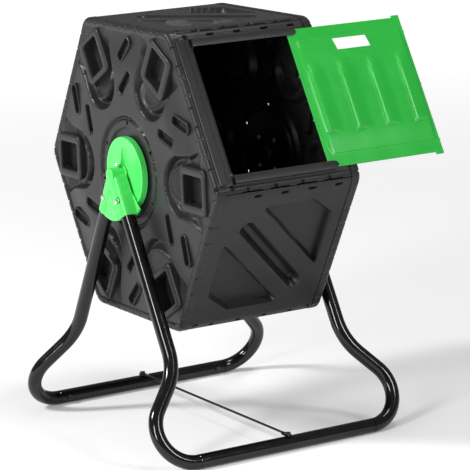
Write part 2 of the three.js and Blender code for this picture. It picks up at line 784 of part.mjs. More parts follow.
// ---- Brace rod: a thin rod with a flat pad at each end ----
function braceRod() {
  const half = bracePadWidth / 2;
  const reach = footHalfDepth - half + past;
  const rod = new THREE.CylinderGeometry(braceRodRadius, braceRodRadius, 2 * reach, 10);
  rod.translate(0, 0, braceRodRadius);
  const pads = [-1, 1].map((way) => {
    const y = way * footHalfDepth;
    const pad = block(-half, half, y - half, y + half, 0, bracePadThickness);
    return cut(pad, screwHole(-past, bracePadThickness + past, 0, y));
  });
  return join(solid(rod), ...pads);
}

const brace = place(tumbler, "brace_rod", braceRod(), blackTube);
brace.position.set(braceOffset, 0, braceBase);

export default tumbler;
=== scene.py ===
"""Compost tumbler: the finished surfaces and materials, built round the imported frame.

Lengths are metres. Millimetre sizes are written as a number times mm. The drum turns about a line along X, its
door side faces -Y, and every finished piece is made in place, so its object sits at the origin.
"""

import json
import math

import bmesh
import bpy
import numpy as np
from mathutils import Matrix, Vector


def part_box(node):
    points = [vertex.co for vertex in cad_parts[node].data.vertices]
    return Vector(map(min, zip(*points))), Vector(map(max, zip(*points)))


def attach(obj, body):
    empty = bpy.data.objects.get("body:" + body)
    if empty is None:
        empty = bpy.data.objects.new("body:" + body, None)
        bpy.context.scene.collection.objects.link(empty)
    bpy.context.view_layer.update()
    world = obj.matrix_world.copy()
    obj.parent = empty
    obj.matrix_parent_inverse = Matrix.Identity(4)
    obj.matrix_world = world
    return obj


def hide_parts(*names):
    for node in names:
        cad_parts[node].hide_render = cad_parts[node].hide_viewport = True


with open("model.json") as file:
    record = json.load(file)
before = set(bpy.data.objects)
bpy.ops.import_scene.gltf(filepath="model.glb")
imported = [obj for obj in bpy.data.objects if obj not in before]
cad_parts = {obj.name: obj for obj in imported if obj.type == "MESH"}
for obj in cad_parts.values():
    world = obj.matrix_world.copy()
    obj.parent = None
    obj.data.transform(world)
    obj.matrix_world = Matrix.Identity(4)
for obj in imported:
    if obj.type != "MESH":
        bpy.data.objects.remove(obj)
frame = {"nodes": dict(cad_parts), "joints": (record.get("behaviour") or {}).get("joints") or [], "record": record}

mm = 0.001
degree = math.pi / 180
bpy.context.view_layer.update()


# ---- Places taken from the frame ----
def span(node, axis):
    """Lowest and highest value of a node's box along one axis."""
    low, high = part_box(node)
    return low[axis], high[axis]


def middle_of(node):
    """The middle of a CAD node's box."""
    low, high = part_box(node)
    return np.array((low + high) / 2)


joints = {joint["name"]: joint for joint in frame["joints"]}
axis_point = np.array(joints["drum_turn"]["pos_m"])
collar_height = 7 * mm
left_face = span("end_panel_left", 0)[0] + collar_height
right_face = span("end_panel_right", 0)[1] - collar_height
drum_middle = (left_face + right_face) / 2
drum_half = (right_face - left_face) / 2
apothem = (span("end_panel_left", 2)[1] - span("end_panel_left", 2)[0]) / 2
circumradius = apothem / math.cos(30 * degree)
corner_reach = (span("end_panel_left", 1)[1] - span("end_panel_left", 1)[0]) / 2
edge_round = (circumradius - corner_reach) / (1 / math.cos(30 * degree) - 1)
tube_radius = (span("front_floor_bar", 2)[1] - span("front_floor_bar", 2)[0]) / 2
foot_depth = middle_of("rear_floor_bar")[1]
leg_tilt = math.atan2(foot_depth, axis_point[2] - tube_radius)


# ---- Frames of reference ----
def end_frame(out):
    """Origin and axes of one drum end: across, up and outwards. out is -1 on the left and 1 on the right."""
    origin = np.array([drum_middle + out * drum_half, axis_point[1], axis_point[2]])
    return origin, np.array([[0, out, 0], [0, 0, 1], [out, 0, 0]], float)


def panel_frame(turn):
    """Origin and axes of one side panel: along the drum, across the panel and outwards."""
    c, s = math.cos(turn * degree), math.sin(turn * degree)
    axes = np.array([[1, 0, 0], [0, c, s], [0, -s, c]], float)
    return np.array([drum_middle, axis_point[1], axis_point[2]]) + apothem * axes[2], axes


def in_world(points, place):
    """Points from a local frame, its origin plus each coordinate times its axis."""
    origin, axes = place
    return origin + points @ axes


def placed(part, place):
    """A local (points, faces) pair put into the world; a frame that mirrors turns the faces over."""
    points, faces = part
    faces = np.asarray(faces)
    if np.linalg.det(place[1]) < 0:
        faces = faces[:, ::-1]
    return in_world(np.asarray(points).reshape(-1, 3), place), faces


def spun(part, angle):
    """Turns a part about its third axis by an angle in degrees."""
    c, s = math.cos(angle * degree), math.sin(angle * degree)
    return np.asarray(part[0]).reshape(-1, 3) @ np.array([[c, s, 0], [-s, c, 0], [0, 0, 1]]), part[1]


def shifted(part, by):
    """A part moved by an offset."""
    return np.asarray(part[0]).reshape(-1, 3) + np.asarray(by), part[1]


# ---- Meshes from arrays ----
def grid_faces(rows, columns, wrap_rows=False, wrap_columns=False):
    """Quads between neighbouring grid points; a wrapped direction joins its last line to its first."""
    r = np.arange(rows if wrap_rows else rows - 1)[:, None]
    c = np.arange(columns if wrap_columns else columns - 1)[None, :]
    r2, c2 = (r + 1) % rows, (c + 1) % columns
    corners = [r * columns + c, r2 * columns + c, r2 * columns + c2, r * columns + c2]
    return np.stack([np.broadcast_to(k, (r.shape[0], c.shape[1])) for k in corners], -1).reshape(-1, 4)


def merged(parts):
    """Several (points, faces) pairs as one."""
    points, faces, count = [], [], 0
    for p, f in parts:
        points.append(p.reshape(-1, 3))
        faces.append(np.asarray(f) + count)
        count += len(points[-1])
    return np.concatenate(points), np.concatenate(faces)


sharp_angle = 35 * degree
weld_distance = 0.001 * mm


def piece(name, parts, body, slot, replaces=(), thickness=0):
    """A finished object from (points, faces) pairs, riding on a body and standing for CAD nodes."""
    points, faces = merged(parts)
    mesh = bpy.data.meshes.new(name)
    mesh.from_pydata(points.tolist(), [], faces.tolist())
    made = bpy.data.objects.new(name, mesh)
    bpy.context.scene.collection.objects.link(made)
    tidy_mesh(mesh, closed=not thickness)
    mesh.materials.append(slot_of[slot])
    mesh.polygons.foreach_set("use_smooth", np.ones(len(mesh.polygons), bool))
    mesh.set_sharp_from_angle(angle=sharp_angle)
    if thickness:
        wall = made.modifiers.new("wall", "SOLIDIFY")
        wall.thickness = thickness
        wall.offset = -1
        wall.use_even_offset = False
    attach(made, body)
    if replaces:
        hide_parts(*replaces)


def tidy_mesh(mesh, closed):
    """Merges points that coincide, drops the faces this closes up and turns closed shells outwards."""
    work = bmesh.new()
    work.from_mesh(mesh)
    bmesh.ops.remove_doubles(work, verts=work.verts, dist=weld_distance)
    bmesh.ops.dissolve_degenerate(work, edges=work.edges, dist=weld_distance)
    if closed:
        bmesh.ops.recalc_face_normals(work, faces=work.faces)
    work.to_mesh(mesh)
    work.free()


# ---- Outlines and profiles ----
def rounded_rectangle(half_long, half_short, radius, sides=8, corners=6):
    """A rectangle with round corners: points and outward normals, a fixed count on each side and corner."""
    turns = (np.arange(4)[:, None] * 90 + np.linspace(0, 90, corners + 1)[None, :]).reshape(-1) * degree
    signs = np.repeat(np.array([(1, 1), (-1, 1), (-1, -1), (1, -1)]), corners + 1, 0)
    normals = np.stack([np.cos(turns), np.sin(turns)], 1)
    points = signs * [half_long - radius, half_short - radius] + radius * normals
    ways = np.linspace(0, 1, sides + 1)[1:-1, None]
    rows, slopes = [], []
    for k in range(4):
        corner = slice(k * (corners + 1), (k + 1) * (corners + 1))
        last, following = points[corner][-1], points[(k + 1) % 4 * (corners + 1)]
        rows += [points[corner], last + ways * (following - last)]
        slopes += [normals[corner], np.broadcast_to(normals[corner][-1], (sides - 1, 2))]
    return np.concatenate(rows), np.concatenate(slopes)


def spanned(inner, outer, profile, closed_profile=False):
    """A surface between two matching outlines: each profile entry is a share of the way out and a height."""
    share, height = np.asarray(profile, float).T
    flat = inner[:, None, :] + share[None, :, None] * (outer - inner)[:, None, :]
    lift = np.broadcast_to(height[None, :, None], flat.shape[:2] + (1,))
    return np.concatenate([flat, lift], 2), grid_faces(len(inner), len(share), True, closed_profile)[:, ::-1]


def rounded_slab(half_long, half_short, radius, low, high, edge=0.5 * mm):
    """A flat plate with rounded corners and softened edges, closed over the middle on both faces."""
    outline = rounded_rectangle(half_long, half_short, radius)
    inset = min(2 * mm, radius)
    profile = [(-inset, low), (-edge, low), (0, low + edge), (0, high - edge), (-edge, high), (-inset, high)]
    grid, faces = carried(outline, profile)
    return merged([(grid, faces), lid(grid[:, 0], False), lid(grid[:, -1], True)])


def lid(ring, up, middle=None):
    """Closes a ring to a middle point, with two ring steps to each face."""
    count = len(ring)
    centre = ring.mean(0) if middle is None else np.array([middle[0], middle[1], ring[0, 2]])
    k = np.arange(0, count - 1, 2)
    faces = np.stack([np.full_like(k, count), k, k + 1, (k + 2) % count], 1)
    if count % 2:
        faces = np.concatenate([faces, [[count, count - 1, 0, 0]]])
    return np.concatenate([ring, centre[None]]), faces if up else faces[:, ::-1]


def carried(outline, profile, closed_profile=False):
    """A profile carried round an outline: the point is outline + outset * normal, lifted by the height."""
    points, normals = outline
    outset, height = np.asarray(profile, float).T
    flat = points[:, None, :] + outset[None, :, None] * normals[:, None, :]
    lift = np.broadcast_to(height[None, :, None], flat.shape[:2] + (1,))
    grid = np.concatenate([flat, lift], 2)
    return grid, grid_faces(len(points), len(outset), True, closed_profile)


def arc(middle, radius, start, end, steps=5):
    """Points on a circular arc in a profile, from one angle to another in degrees."""
    angles = np.linspace(start, end, steps + 1) * degree
    return [(middle[0] + radius * math.cos(a), middle[1] + radius * math.sin(a)) for a in angles]


def lathe(profile, sides=64, closed=False):
    """A profile of (radius, height) turned about the third axis: the point is (r cos t, r sin t, h)."""
    radius, height = np.asarray(profile, float).T
    t = np.arange(sides) * 2 * math.pi / sides
    grid = np.stack(
        [
            np.cos(t)[:, None] * radius,
            np.sin(t)[:, None] * radius,
            np.broadcast_to(height, (sides, len(radius))),
        ],
        2,
    )
    return grid, grid_faces(sides, len(radius), True, closed)


def ramp(value, start, end):
    """0 before start, 1 after end, and a smooth S between."""
    t = np.clip((value - start) / (end - start), 0, 1)
    return t * t * (3 - 2 * t)


# ---- Signed distances in the plane: negative inside ----
def box_distance(x, y, half_x, half_y, radius):
    """Distance to a rectangle with round corners: outside it past the corner, inside it to the nearer side."""
    qx, qy = np.abs(x) - half_x + radius, np.abs(y) - half_y + radius
    return np.hypot(np.maximum(qx, 0), np.maximum(qy, 0)) + np.minimum(np.maximum(qx, qy), 0) - radius


def bar_distance(x, y, start, end, radius):
    """Distance to a round-ended bar between two points."""
    dx, dy = end[0] - start[0], end[1] - start[1]
    t = np.clip(((x - start[0]) * dx + (y - start[1]) * dy) / (dx * dx + dy * dy), 0, 1)
    return np.hypot(x - start[0] - t * dx, y - start[1] - t * dy) - radius


def polygon_distance(x, y, corners):
    """Distance to any polygon: to the nearest side, signed by how many sides a level line crosses."""
    nearest, sign = np.full(np.shape(x), np.inf), np.ones(np.shape(x))
    for a, b in zip(corners, np.roll(corners, -1, 0)):
        ex, ey = b - a
        wx, wy = x - a[0], y - a[1]
        t = np.clip((wx * ex + wy * ey) / (ex * ex + ey * ey), 0, 1)
        nearest = np.minimum(nearest, np.hypot(wx - t * ex, wy - t * ey))
        reaches = (a[1] > y) != (b[1] > y)
        beside = wx * ey < wy * ex if ey > 0 else wx * ey > wy * ex
        sign = np.where(reaches & beside, -sign, sign)
    return sign * nearest


def hexagon_distance(x, y, inset=0.0):
    """Distance to the drum's outline, a hexagon with a level top and rounded corners, drawn inset inwards."""
    x, y = np.abs(x), np.abs(y)
    inner = apothem - edge_round
    half = inner / math.cos(30 * degree)
    nx, ny = math.cos(30 * degree), 0.5
    inside = np.maximum(y, x * nx + y * ny) - inner
    top = np.hypot(np.maximum(x - half / 2, 0), y - inner)
    slanted_t = np.clip(((x - half) * -0.5 + y * nx) / half, 0, 1)
    slanted = np.hypot(x - half + 0.5 * half * slanted_t, y - nx * half * slanted_t)
    return np.where(inside > 0, np.minimum(top, slanted), inside) - edge_round + inset


def slope_of(distance, x, y, step):
    """Slope of a distance in both directions, from its change over two steps."""
    gx = (distance(x + step, y) - distance(x - step, y)) / (2 * step)
    gy = (distance(x, y + step) - distance(x, y - step)) / (2 * step)
    return gx, gy


def sheet(width, depth, cell, region, height, creases=(), middle=(0.0, 0.0)):
    """A relief on a square grid: heights from a function, trimmed to where region is negative.

    Points near a crease slide along its distance's slope onto it, so sloped walls have straight feet and
    brows. Cells whose middle lies outside the region are dropped, and the points left on the trimmed edge
    slide the same way onto the edge, so the outline is smooth.
    """
    nx, ny = int(width / cell) + 2, int(depth / cell) + 2
    x = middle[0] + (np.arange(nx) - (nx - 1) / 2) * cell
    y = middle[1] + (np.arange(ny) - (ny - 1) / 2) * cell
    x, y = np.meshgrid(x, y, indexing="ij")
    kept = region(x[:-1, :-1] + cell / 2, y[:-1, :-1] + cell / 2) < 0
    padded = np.pad(kept, 1)
    around = np.stack([padded[:-1, :-1], padded[1:, :-1], padded[:-1, 1:], padded[1:, 1:]])
    edge = around.any(0) & ~around.all(0)
    nudge = cell * 0.05
    for crease in creases:
        d = crease(x, y)
        gx, gy = slope_of(crease, x, y, nudge)
        near = (np.abs(d) < 0.45 * cell) & ~edge
        steep = np.maximum(gx * gx + gy * gy, 0.5)
        x, y = np.where(near, x - d * gx / steep, x), np.where(near, y - d * gy / steep, y)
    for _ in range(3):
        d = region(x, y)
        gx, gy = slope_of(region, x, y, nudge)
        steep = np.maximum(gx * gx + gy * gy, 0.25)
        x, y = np.where(edge, x - d * gx / steep, x), np.where(edge, y - d * gy / steep, y)
    points = np.stack([x, y, height(x, y)], 2).reshape(-1, 3)
    faces = grid_faces(nx, ny)[kept.reshape(-1)]
    used = np.unique(faces)
    number = np.zeros(len(points), int)
    number[used] = np.arange(len(used))
    return points[used], number[faces]


# ---- Materials: expressions on sockets ----
class Value:
    """Wraps a shader output so that + adds a Math node."""

    def __init__(self, finish, socket):
        self.finish, self.socket = finish, socket

    def __add__(self, other):
        return self.finish.node("ShaderNodeMath", {"operation": "ADD"}, [self, other])

    __radd__ = __add__

    def between(self, low, high, to_low=0.0, to_high=1.0):
        """Maps a range onto another and stays inside it."""
        return self.finish.node("ShaderNodeMapRange", {"clamp": True}, [self, low, high, to_low, to_high])


class Finish:
    """One material being built; node() is the only way that nodes are added."""

    def __init__(self, name):
        self.material = bpy.data.materials.new(name)
        self.material.use_nodes = True
        self.tree = self.material.node_tree
        self.shader = self.tree.nodes["Principled BSDF"]
        self.where = self.node("ShaderNodeTexCoord", {}, [], output="Object")

    def node(self, kind, settings, inputs, output=0):
        """Adds a node: its settings first, then each socket's link or value, and gives back one output."""
        made = self.tree.nodes.new(kind)
        for key, value in settings.items():
            setattr(made, key, value)
        entries = inputs.items() if isinstance(inputs, dict) else enumerate(inputs)
        for key, value in entries:
            if isinstance(value, Value):
                self.tree.links.new(value.socket, made.inputs[key])
            else:
                made.inputs[key].default_value = value
        return Value(self, made.outputs[output])

    def noise(self, scale, detail=4.0, rough=0.55, stretch=(1, 1, 1)):
        """Cloudy noise with this many bumps to a metre, drawn out along the axes by stretch."""
        where = self.where
        if stretch != (1, 1, 1):
            where = self.node("ShaderNodeMapping", {}, {"Vector": self.where, "Scale": stretch})
        values = {"Vector": where, "Scale": scale, "Detail": detail, "Roughness": rough}
        return self.node("ShaderNodeTexNoise", {}, values)

    def mix(self, factor, a, b):
        """A colour between a and b."""
        return self.node("ShaderNodeMix", {"data_type": "RGBA"}, {0: factor, 6: a, 7: b}, output=2)

    def bump(self, height, distance, strength):
        """A normal tilted by a height that stands for this distance."""
        return self.node("ShaderNodeBump", {}, {"Height": height, "Distance": distance, "Strength": strength})

    def set(self, **values):
        """Sets or links the shader's own sockets; a name's underscores stand for spaces."""
        for key, value in values.items():
            socket = self.shader.inputs[key.replace("_", " ")]
            if isinstance(value, Value):
                self.tree.links.new(value.socket, socket)
            else:
                socket.default_value = value
        return self.material


def grey(value, warm=0.0):
    """A grey, moved a little towards yellow by warm."""
    return (value * (1 + warm), value, value * (1 - warm), 1)


def drum_plastic():
    """Black polypropylene with a fine moulded grain, slight flow streaks and rubbed high spots."""
    f = Finish("drum plastic")
    grain = f.noise(900, 3, 0.6)
    cloud = f.noise(9, 4, 0.5)
    streak = f.noise(28, 3, 0.5, (0.25, 1.6, 1))
    colour = f.mix(cloud.between(0.35, 0.65), grey(0.010), grey(0.015))
    colour = f.mix(streak.between(0.45, 0.7, 0, 0.35), colour, grey(0.021))
    rough = cloud.between(0.3, 0.7, 0.31, 0.40) + grain.between(0.3, 0.7, -0.03, 0.03)
    normal = f.bump(grain, 0.00025, 0.35)
    return f.set(Base_Color=colour, Roughness=rough, Specular_IOR_Level=0.3, Normal=normal)


def green_plastic(name, dark, light, roughness):
    """Glossy moulded green: fine grain, a slightly cloudy gloss and a faint drift of colour."""
    f = Finish(name)
    grain = f.noise(700, 2, 0.5)
    cloud = f.noise(14, 3, 0.5)
    colour = f.mix(cloud.between(0.35, 0.65), dark, light)
    rough = cloud.between(0.3, 0.7, roughness - 0.05, roughness + 0.05)
    normal = f.bump(grain, 0.00015, 0.25)
    return f.set(Base_Color=colour, Roughness=rough, Specular_IOR_Level=0.5, Normal=normal)


def powder_coat():
    """Gloss black powder coat: a faint orange-peel ripple and small dull patches."""
    f = Finish("black powder coat")
    peel = f.noise(420, 2, 0.5)
    dull = f.noise(35, 4, 0.6)
    colour = f.mix(dull.between(0.4, 0.7), grey(0.003), grey(0.005))
    rough = dull.between(0.35, 0.75, 0.10, 0.17)
    normal = f.bump(peel, 0.0001, 0.12)
    return f.set(Base_Color=colour, Roughness=rough, Specular_IOR_Level=0.42, Normal=normal)


def black_screws():
    """Black-coated screws: satin, with the coat worn a little thin in patches."""
    f = Finish("black screws")
    worn = f.noise(260, 4, 0.6)
    colour = f.mix(worn.between(0.45, 0.75), grey(0.010), grey(0.030))
    rough = worn.between(0.35, 0.75, 0.30, 0.42)
    return f.set(Base_Color=colour, Roughness=rough, Specular_IOR_Level=0.4, Normal=f.bump(worn, 0.0001, 0.2))


def zinc():
    """Zinc-plated steel with fine turned marks and a slightly cloudy plate."""
    f = Finish("zinc plate")
    fine = f.noise(1500, 2, 0.5)
    cloud = f.noise(120, 3, 0.6)
    colour = f.mix(cloud.between(0.3, 0.7), grey(0.60, 0.02), grey(0.78, 0.01))
    rough = fine.between(0.3, 0.7, 0.22, 0.36)
    return f.set(Base_Color=colour, Roughness=rough, Metallic=1.0, Normal=f.bump(fine, 0.00005, 0.2))


def acetal():
    """Off-white acetal with a faintly cloudy satin face."""
    f = Finish("natural acetal")
    cloud = f.noise(60, 3, 0.5)
    return f.set(
        Base_Color=f.mix(cloud.between(0.3, 0.7), grey(0.62, 0.04), grey(0.72, 0.04)),
        Roughness=cloud.between(0.3, 0.7, 0.4, 0.5),
        Normal=f.bump(cloud, 0.0001, 0.1),
    )


def vinyl_label():
    """A plain white label with a slightly yellowed, scuffed gloss."""
    f = Finish("blank label")
    scuff = f.noise(90, 5, 0.65)
    return f.set(
        Base_Color=f.mix(scuff.between(0.4, 0.75), grey(0.86), grey(0.78, 0.015)),
        Roughness=scuff.between(0.3, 0.75, 0.3, 0.5),
        Normal=f.bump(scuff, 0.0001, 0.1),
    )


slot_of = {
    "drum_plastic": drum_plastic(),
    "door_green": green_plastic("door green", (0.016, 0.36, 0.037, 1), (0.018, 0.385, 0.041, 1), 0.28),
    "hub_green": green_plastic("hub green", (0.060, 0.62, 0.10, 1), (0.068, 0.66, 0.11, 1), 0.28),
    "black_tube": powder_coat(),
    "zinc_steel": zinc(),
    "black_steel": black_screws(),
    "bush_plastic": acetal(),
    "label_white": vinyl_label(),
}
for row in frame["record"]["subparts"]:
    node = frame["nodes"][row["node"]]
    node.data.materials.clear()
    node.data.materials.append(slot_of[row["material_slot"]])


# ---- Camera, light and floor ----
film_width = 36
sight = 50
floor_reach = 30


def look_from(azimuth, elevation, roll, distance, target, focal):
    """A camera on a sphere round a target: azimuth 0 looks along +Y, and roll turns the picture."""
    a, e, r = azimuth * degree, elevation * degree, roll * degree
    back = np.array([math.sin(a) * math.cos(e), -math.cos(a) * math.cos(e), math.sin(e)])
    right = np.cross([0, 0, 1], back)
    right /= np.linalg.norm(right)
    up = np.cross(back, right)
    right, up = math.cos(r) * right + math.sin(r) * up, math.cos(r) * up - math.sin(r) * right
    data = bpy.data.cameras.new("camera")
    data.lens, data.sensor_width = focal, film_width
    data.clip_end = sight
    camera = bpy.data.objects.new("camera", data)
    place = np.eye(4)
    place[:3, 0], place[:3, 1], place[:3, 2] = right, up, back
    place[:3, 3] = np.asarray(target) + distance * back
    camera.matrix_world = Matrix(place.tolist())
    bpy.context.scene.collection.objects.link(camera)
    bpy.context.scene.camera = camera


def soft_light(name, position, target, size, power):
    """A white rectangular light, turned towards a target."""
    data = bpy.data.lights.new(name, "AREA")
    data.shape, (data.size, data.size_y) = "RECTANGLE", size
    data.energy = power
    light = bpy.data.objects.new(name, data)
    light.location = position
    light.rotation_euler = (Vector(target) - Vector(position)).to_track_quat("-Z", "Y").to_euler()
    bpy.context.scene.collection.objects.link(light)


look_from(
    azimuth=-30.573, elevation=11.937, roll=-2.195, distance=4.607,
    target=(drum_middle + 63.3 * mm, 0, 325.7 * mm), focal=198.5,
)
soft_light("key", (-2.7, 1.0, 2.6), (-0.1, 0, 0.45), (0.5, 0.9), 110)
soft_light("front", (1.3, -3.5, 2.5), (0, 0, 0.4), (0.7, 0.9), 50)
soft_light("top", (0.5, -0.5, 3.0), (0, 0, 0.5), (0.8, 0.8), 28)
soft_light("left_strip", (-2.9, -1.4, 1.5), (0, 0, 0.4), (0.5, 1.6), 62)


def pale_floor():
    """Plain pale ground with a painted glow: it emits light, dim near the middle and bright far off, so it stays
    white away from the lights.
    """
    f = Finish("pale floor")
    reach = f.node("ShaderNodeVectorMath", {"operation": "LENGTH"}, [f.where], output="Value")
    # Painted light: emission that brightens the floor with distance from the middle, standing in for a white
    # backdrop lit by lamps.
    painted_glow = f.mix(reach.between(0.6, 5.0), grey(0.12), grey(0.85))
    tone = f.mix(f.noise(0.8).between(0.3, 0.7), grey(0.80), grey(0.83))
    return f.set(Base_Color=tone, Emission_Color=painted_glow, Emission_Strength=1.0, Roughness=0.7)


floor_data = bpy.data.meshes.new("floor")
floor_corners = [(a * floor_reach, b * floor_reach, 0) for a, b in ((-1, -1), (1, -1), (1, 1), (-1, 1))]
floor_data.from_pydata(floor_corners, [], [(0, 1, 2, 3)])
floor_data.materials.append(pale_floor())
floor = bpy.data.objects.new("floor", floor_data)
bpy.context.scene.collection.objects.link(floor)
world = bpy.data.worlds.new("studio")
world.use_nodes = True
sky = world.node_tree.nodes["Background"]
sky.inputs["Color"].default_value = grey(1)
sky.inputs["Strength"].default_value = 0.2
bpy.context.scene.world = world
bpy.context.scene.view_settings.view_transform = "Standard"


# ---- End panels ----
window_at = circumradius - 76.5 * mm
window_half = (30 * mm, 25 * mm)
collar_half = (40.5 * mm, 40 * mm)
slot_rings = (157 * mm, 214.5 * mm)
slot_half = (25 * mm, 7.5 * mm)
slot_lean = 15
skirt = 16 * mm
bead_width = 15 * mm
end_wall = 2.4 * mm
face_swell = 6 * mm
hub_step, hub_step_radius = 2.4 * mm, 98 * mm
groove_depth, groove_inside, groove_outside = 4.5 * mm, 91 * mm, 99 * mm
dish_depth, dish_radius = 5 * mm, 77 * mm
horseshoe_at = 178 * mm
moat_outside, moat_inside, moat_depth = 54 * mm, 35 * mm, 14 * mm
ridge_height, ridge_width = 3.6 * mm, 3.4 * mm
window_corner, collar_corner = 5 * mm, 11 * mm
air_hole_circle, air_hole_radius = 88 * mm, 3.5 * mm
axle_hole = 9 * mm
tray_back, tray_brim, tray_wall = -15 * mm, -5 * mm, 2 * mm
knuckle_pitch, long_knuckle = 55 * mm, 34 * mm


def nearest_corner(x, y):
    """Coordinates along and across the nearest corner's direction, six-fold round the drum's axis."""
    k = np.round(np.arctan2(y, x) / (60 * degree)) * 60 * degree
    return x * np.cos(k) + y * np.sin(k), y * np.cos(k) - x * np.sin(k)


def end_relief(x, y):
    """Height of the end panel's face.

    It swells gently from the rim to the middle, where rings step down to the hub. Round each window a horseshoe
    moat of two arcs about a point on the corner's line falls away, and inside the moat a ramp runs down to the
    window's collar.
    """
    rim = -hexagon_distance(x, y)
    radius = np.hypot(x, y)
    a, b = nearest_corner(x, y)
    base = 0.5 * mm + face_swell * ramp(rim, 12 * mm, 92 * mm)
    base -= hub_step * (1 - ramp(radius, hub_step_radius, hub_step_radius + 3 * mm))
    groove = ramp(radius, groove_inside, groove_inside + 2 * mm)
    base -= groove_depth * groove * (1 - ramp(radius, groove_outside - 3 * mm, groove_outside))
    base -= dish_depth * (1 - ramp(radius, dish_radius, dish_radius + 2.5 * mm))
    past = a - horseshoe_at
    about = np.hypot(past, b)
    splay = np.maximum(past, 0)
    outer = np.where(past < 0, about, np.abs(b) - 0.16 * splay) - moat_outside
    inner = np.where(past < 0, about, np.abs(b) - 0.5 * splay) - moat_inside
    fade = 1 - ramp(a, 172 * mm, 236 * mm)
    moat = (1 - ramp(outer, -8 * mm, 0)) * ramp(inner, 0, 7 * mm)
    dome = 1 - ramp(inner, 0, 6 * mm)
    relief = base - moat * moat_depth * fade
    ridge = np.exp(-(((inner + 1.5 * mm) / ridge_width) ** 2)) * ridge_height * fade
    slope = 2.5 * mm + 9.5 * mm * ramp(a, 148 * mm, 182 * mm)
    return relief + ridge - dome * slope * (1 - ramp(a, 205 * mm, 250 * mm))


def window_region(x, y):
    """Distance to the cuts under the window collars, a little smaller than the collars that cover them."""
    a, b = nearest_corner(x, y)
    covered = 5 * mm
    return box_distance(a - window_at, b, collar_half[0] - covered, collar_half[1] - covered, 9 * mm)


def slot_places():
    """Middle and lengthwise direction, in degrees, of the two small slots beside each corner."""
    for side_number in range(6):
        outwards = side_number * 60 + 30
        for ring in slot_rings:
            middle = (ring * math.cos(outwards * degree), ring * math.sin(outwards * degree))
            yield middle, outwards - 30 - slot_lean


def slots_region(x, y):
    """Distance to the cuts under the small slots' lips."""
    half_long, half_short = slot_half[0] + 2 * mm, slot_half[1] + 2 * mm
    nearest = np.full(np.shape(x), np.inf)
    for (cx, cy), towards in slot_places():
        c, s = math.cos(towards * degree), math.sin(towards * degree)
        along, across = (x - cx) * c + (y - cy) * s, (y - cy) * c - (x - cx) * s
        nearest = np.minimum(nearest, box_distance(along, across, half_long, half_short, 7 * mm))
    return nearest


def air_holes_region(x, y):
    """Distance to the six round holes in the hub groove, one in the direction of each side's middle."""
    k = (np.round(np.arctan2(y, x) / (60 * degree) - 0.5) + 0.5) * 60 * degree
    return np.hypot(x - air_hole_circle * np.cos(k), y - air_hole_circle * np.sin(k)) - air_hole_radius


def end_region(x, y):
    """Distance to the face inside its rim, less the windows, slots, air holes and axle hole."""
    openings = np.minimum(np.minimum(window_region(x, y), slots_region(x, y)), air_holes_region(x, y))
    inside_rim = hexagon_distance(x, y, bead_width - 2 * mm)
    return np.maximum(np.maximum(inside_rim, -openings), axle_hole - np.hypot(x, y))


def window_collar():
    """A raised frame with soft edges spanned between the window's outline and the collar's."""
    base, top, low = -8 * mm, collar_height - 0.2 * mm, 0.5 * mm
    inner = rounded_rectangle(*window_half, window_corner)
    outer = rounded_rectangle(*collar_half, collar_corner)
    profile = [(0, base), (0, low), (0, top - 2 * mm), (0.04, top - 0.7 * mm), (0.16, top)]
    profile += [(0.72, top), (0.86, top - 0.5 * mm), (0.96, top - 1.6 * mm), (1, top - 3.2 * mm), (1, base)]
    return spanned(inner[0], outer[0], profile, closed_profile=True)


def window_baffle():
    """A shallow tray behind a window, held on four corner posts so that air passes on every side."""
    half_a, half_b = window_half[0] + 1.5 * mm, window_half[1] + 1.5 * mm
    back, front = tray_back, tray_back + tray_wall
    profile = [(0, tray_brim), (0, back + 0.5 * mm), (-0.5 * mm, back), (-3 * mm, back)]
    profile += [(-3 * mm, front - 0.5 * mm), (-1.7 * mm, front), (-1.2 * mm, tray_brim)]
    parts = [carried(rounded_rectangle(half_a, half_b, 4 * mm), profile, closed_profile=True)]
    parts.append(rounded_slab(half_a - 2 * mm, half_b - 2 * mm, 3 * mm, back, front))
    post_half = 2.5 * mm
    for sa in (-1, 1):
        for sb in (-1, 1):
            post = rounded_slab(post_half, post_half, 1 * mm, front - 1 * mm, -2 * mm)
            parts.append(shifted(post, (sa * (half_a - post_half), sb * (half_b - post_half), 0)))
    return parts


def end_slot():
    """A blind slot with a rolled lip: over the lip, down the wall and across the floor."""
    outline = rounded_rectangle(*slot_half, 5.5 * mm)
    lip, floor_at = 6.4 * mm, -5 * mm
    profile = [(3.6 * mm, -2 * mm), (3.4 * mm, 3.5 * mm), (3 * mm, 5.4 * mm)]
    profile += arc((1.3 * mm, lip - 1.3 * mm), 1.3 * mm, 70, 180)
    profile += arc((-2 * mm, floor_at + 2 * mm), 2 * mm, 0, -90)
    profile += [(-5 * mm, floor_at)]
    grid, faces = carried(outline, profile)
    return merged([(grid, faces), lid(grid[:, -1], True)])


def hexagon_path(step=2 * mm):
    """The drum's outline as points, outward normals and distance along it: six sides, each with an arc."""
    straight = 2 * (apothem - edge_round) * math.tan(30 * degree)
    side = straight + edge_round * 60 * degree
    count = int(round(side / step))
    s = (np.arange(6 * count) / count) * side
    number, along = np.floor(s / side + 1e-9), s % side
    facing = (30 + 60 * number) * degree
    bend = np.maximum(along - straight, 0) / edge_round
    reach = apothem - edge_round
    px = reach + edge_round * np.cos(bend)
    py = np.minimum(along, straight) - straight / 2 + edge_round * np.sin(bend)
    c, t = np.cos(facing), np.sin(facing)
    points = np.stack([px * c - py * t, px * t + py * c], 1)
    normals = np.stack([np.cos(facing + bend), np.sin(facing + bend)], 1)
    return points, normals, s


def knuckle_cuts(s):
    """1 in the thin cuts between the rim's knuckles, which are long and short by turns, and 0 elsewhere."""
    phase = s % knuckle_pitch
    away = np.minimum(np.minimum(phase, knuckle_pitch - phase), np.abs(phase - long_knuckle))
    return 1 - ramp(away, 0.5 * mm, 1.9 * mm)


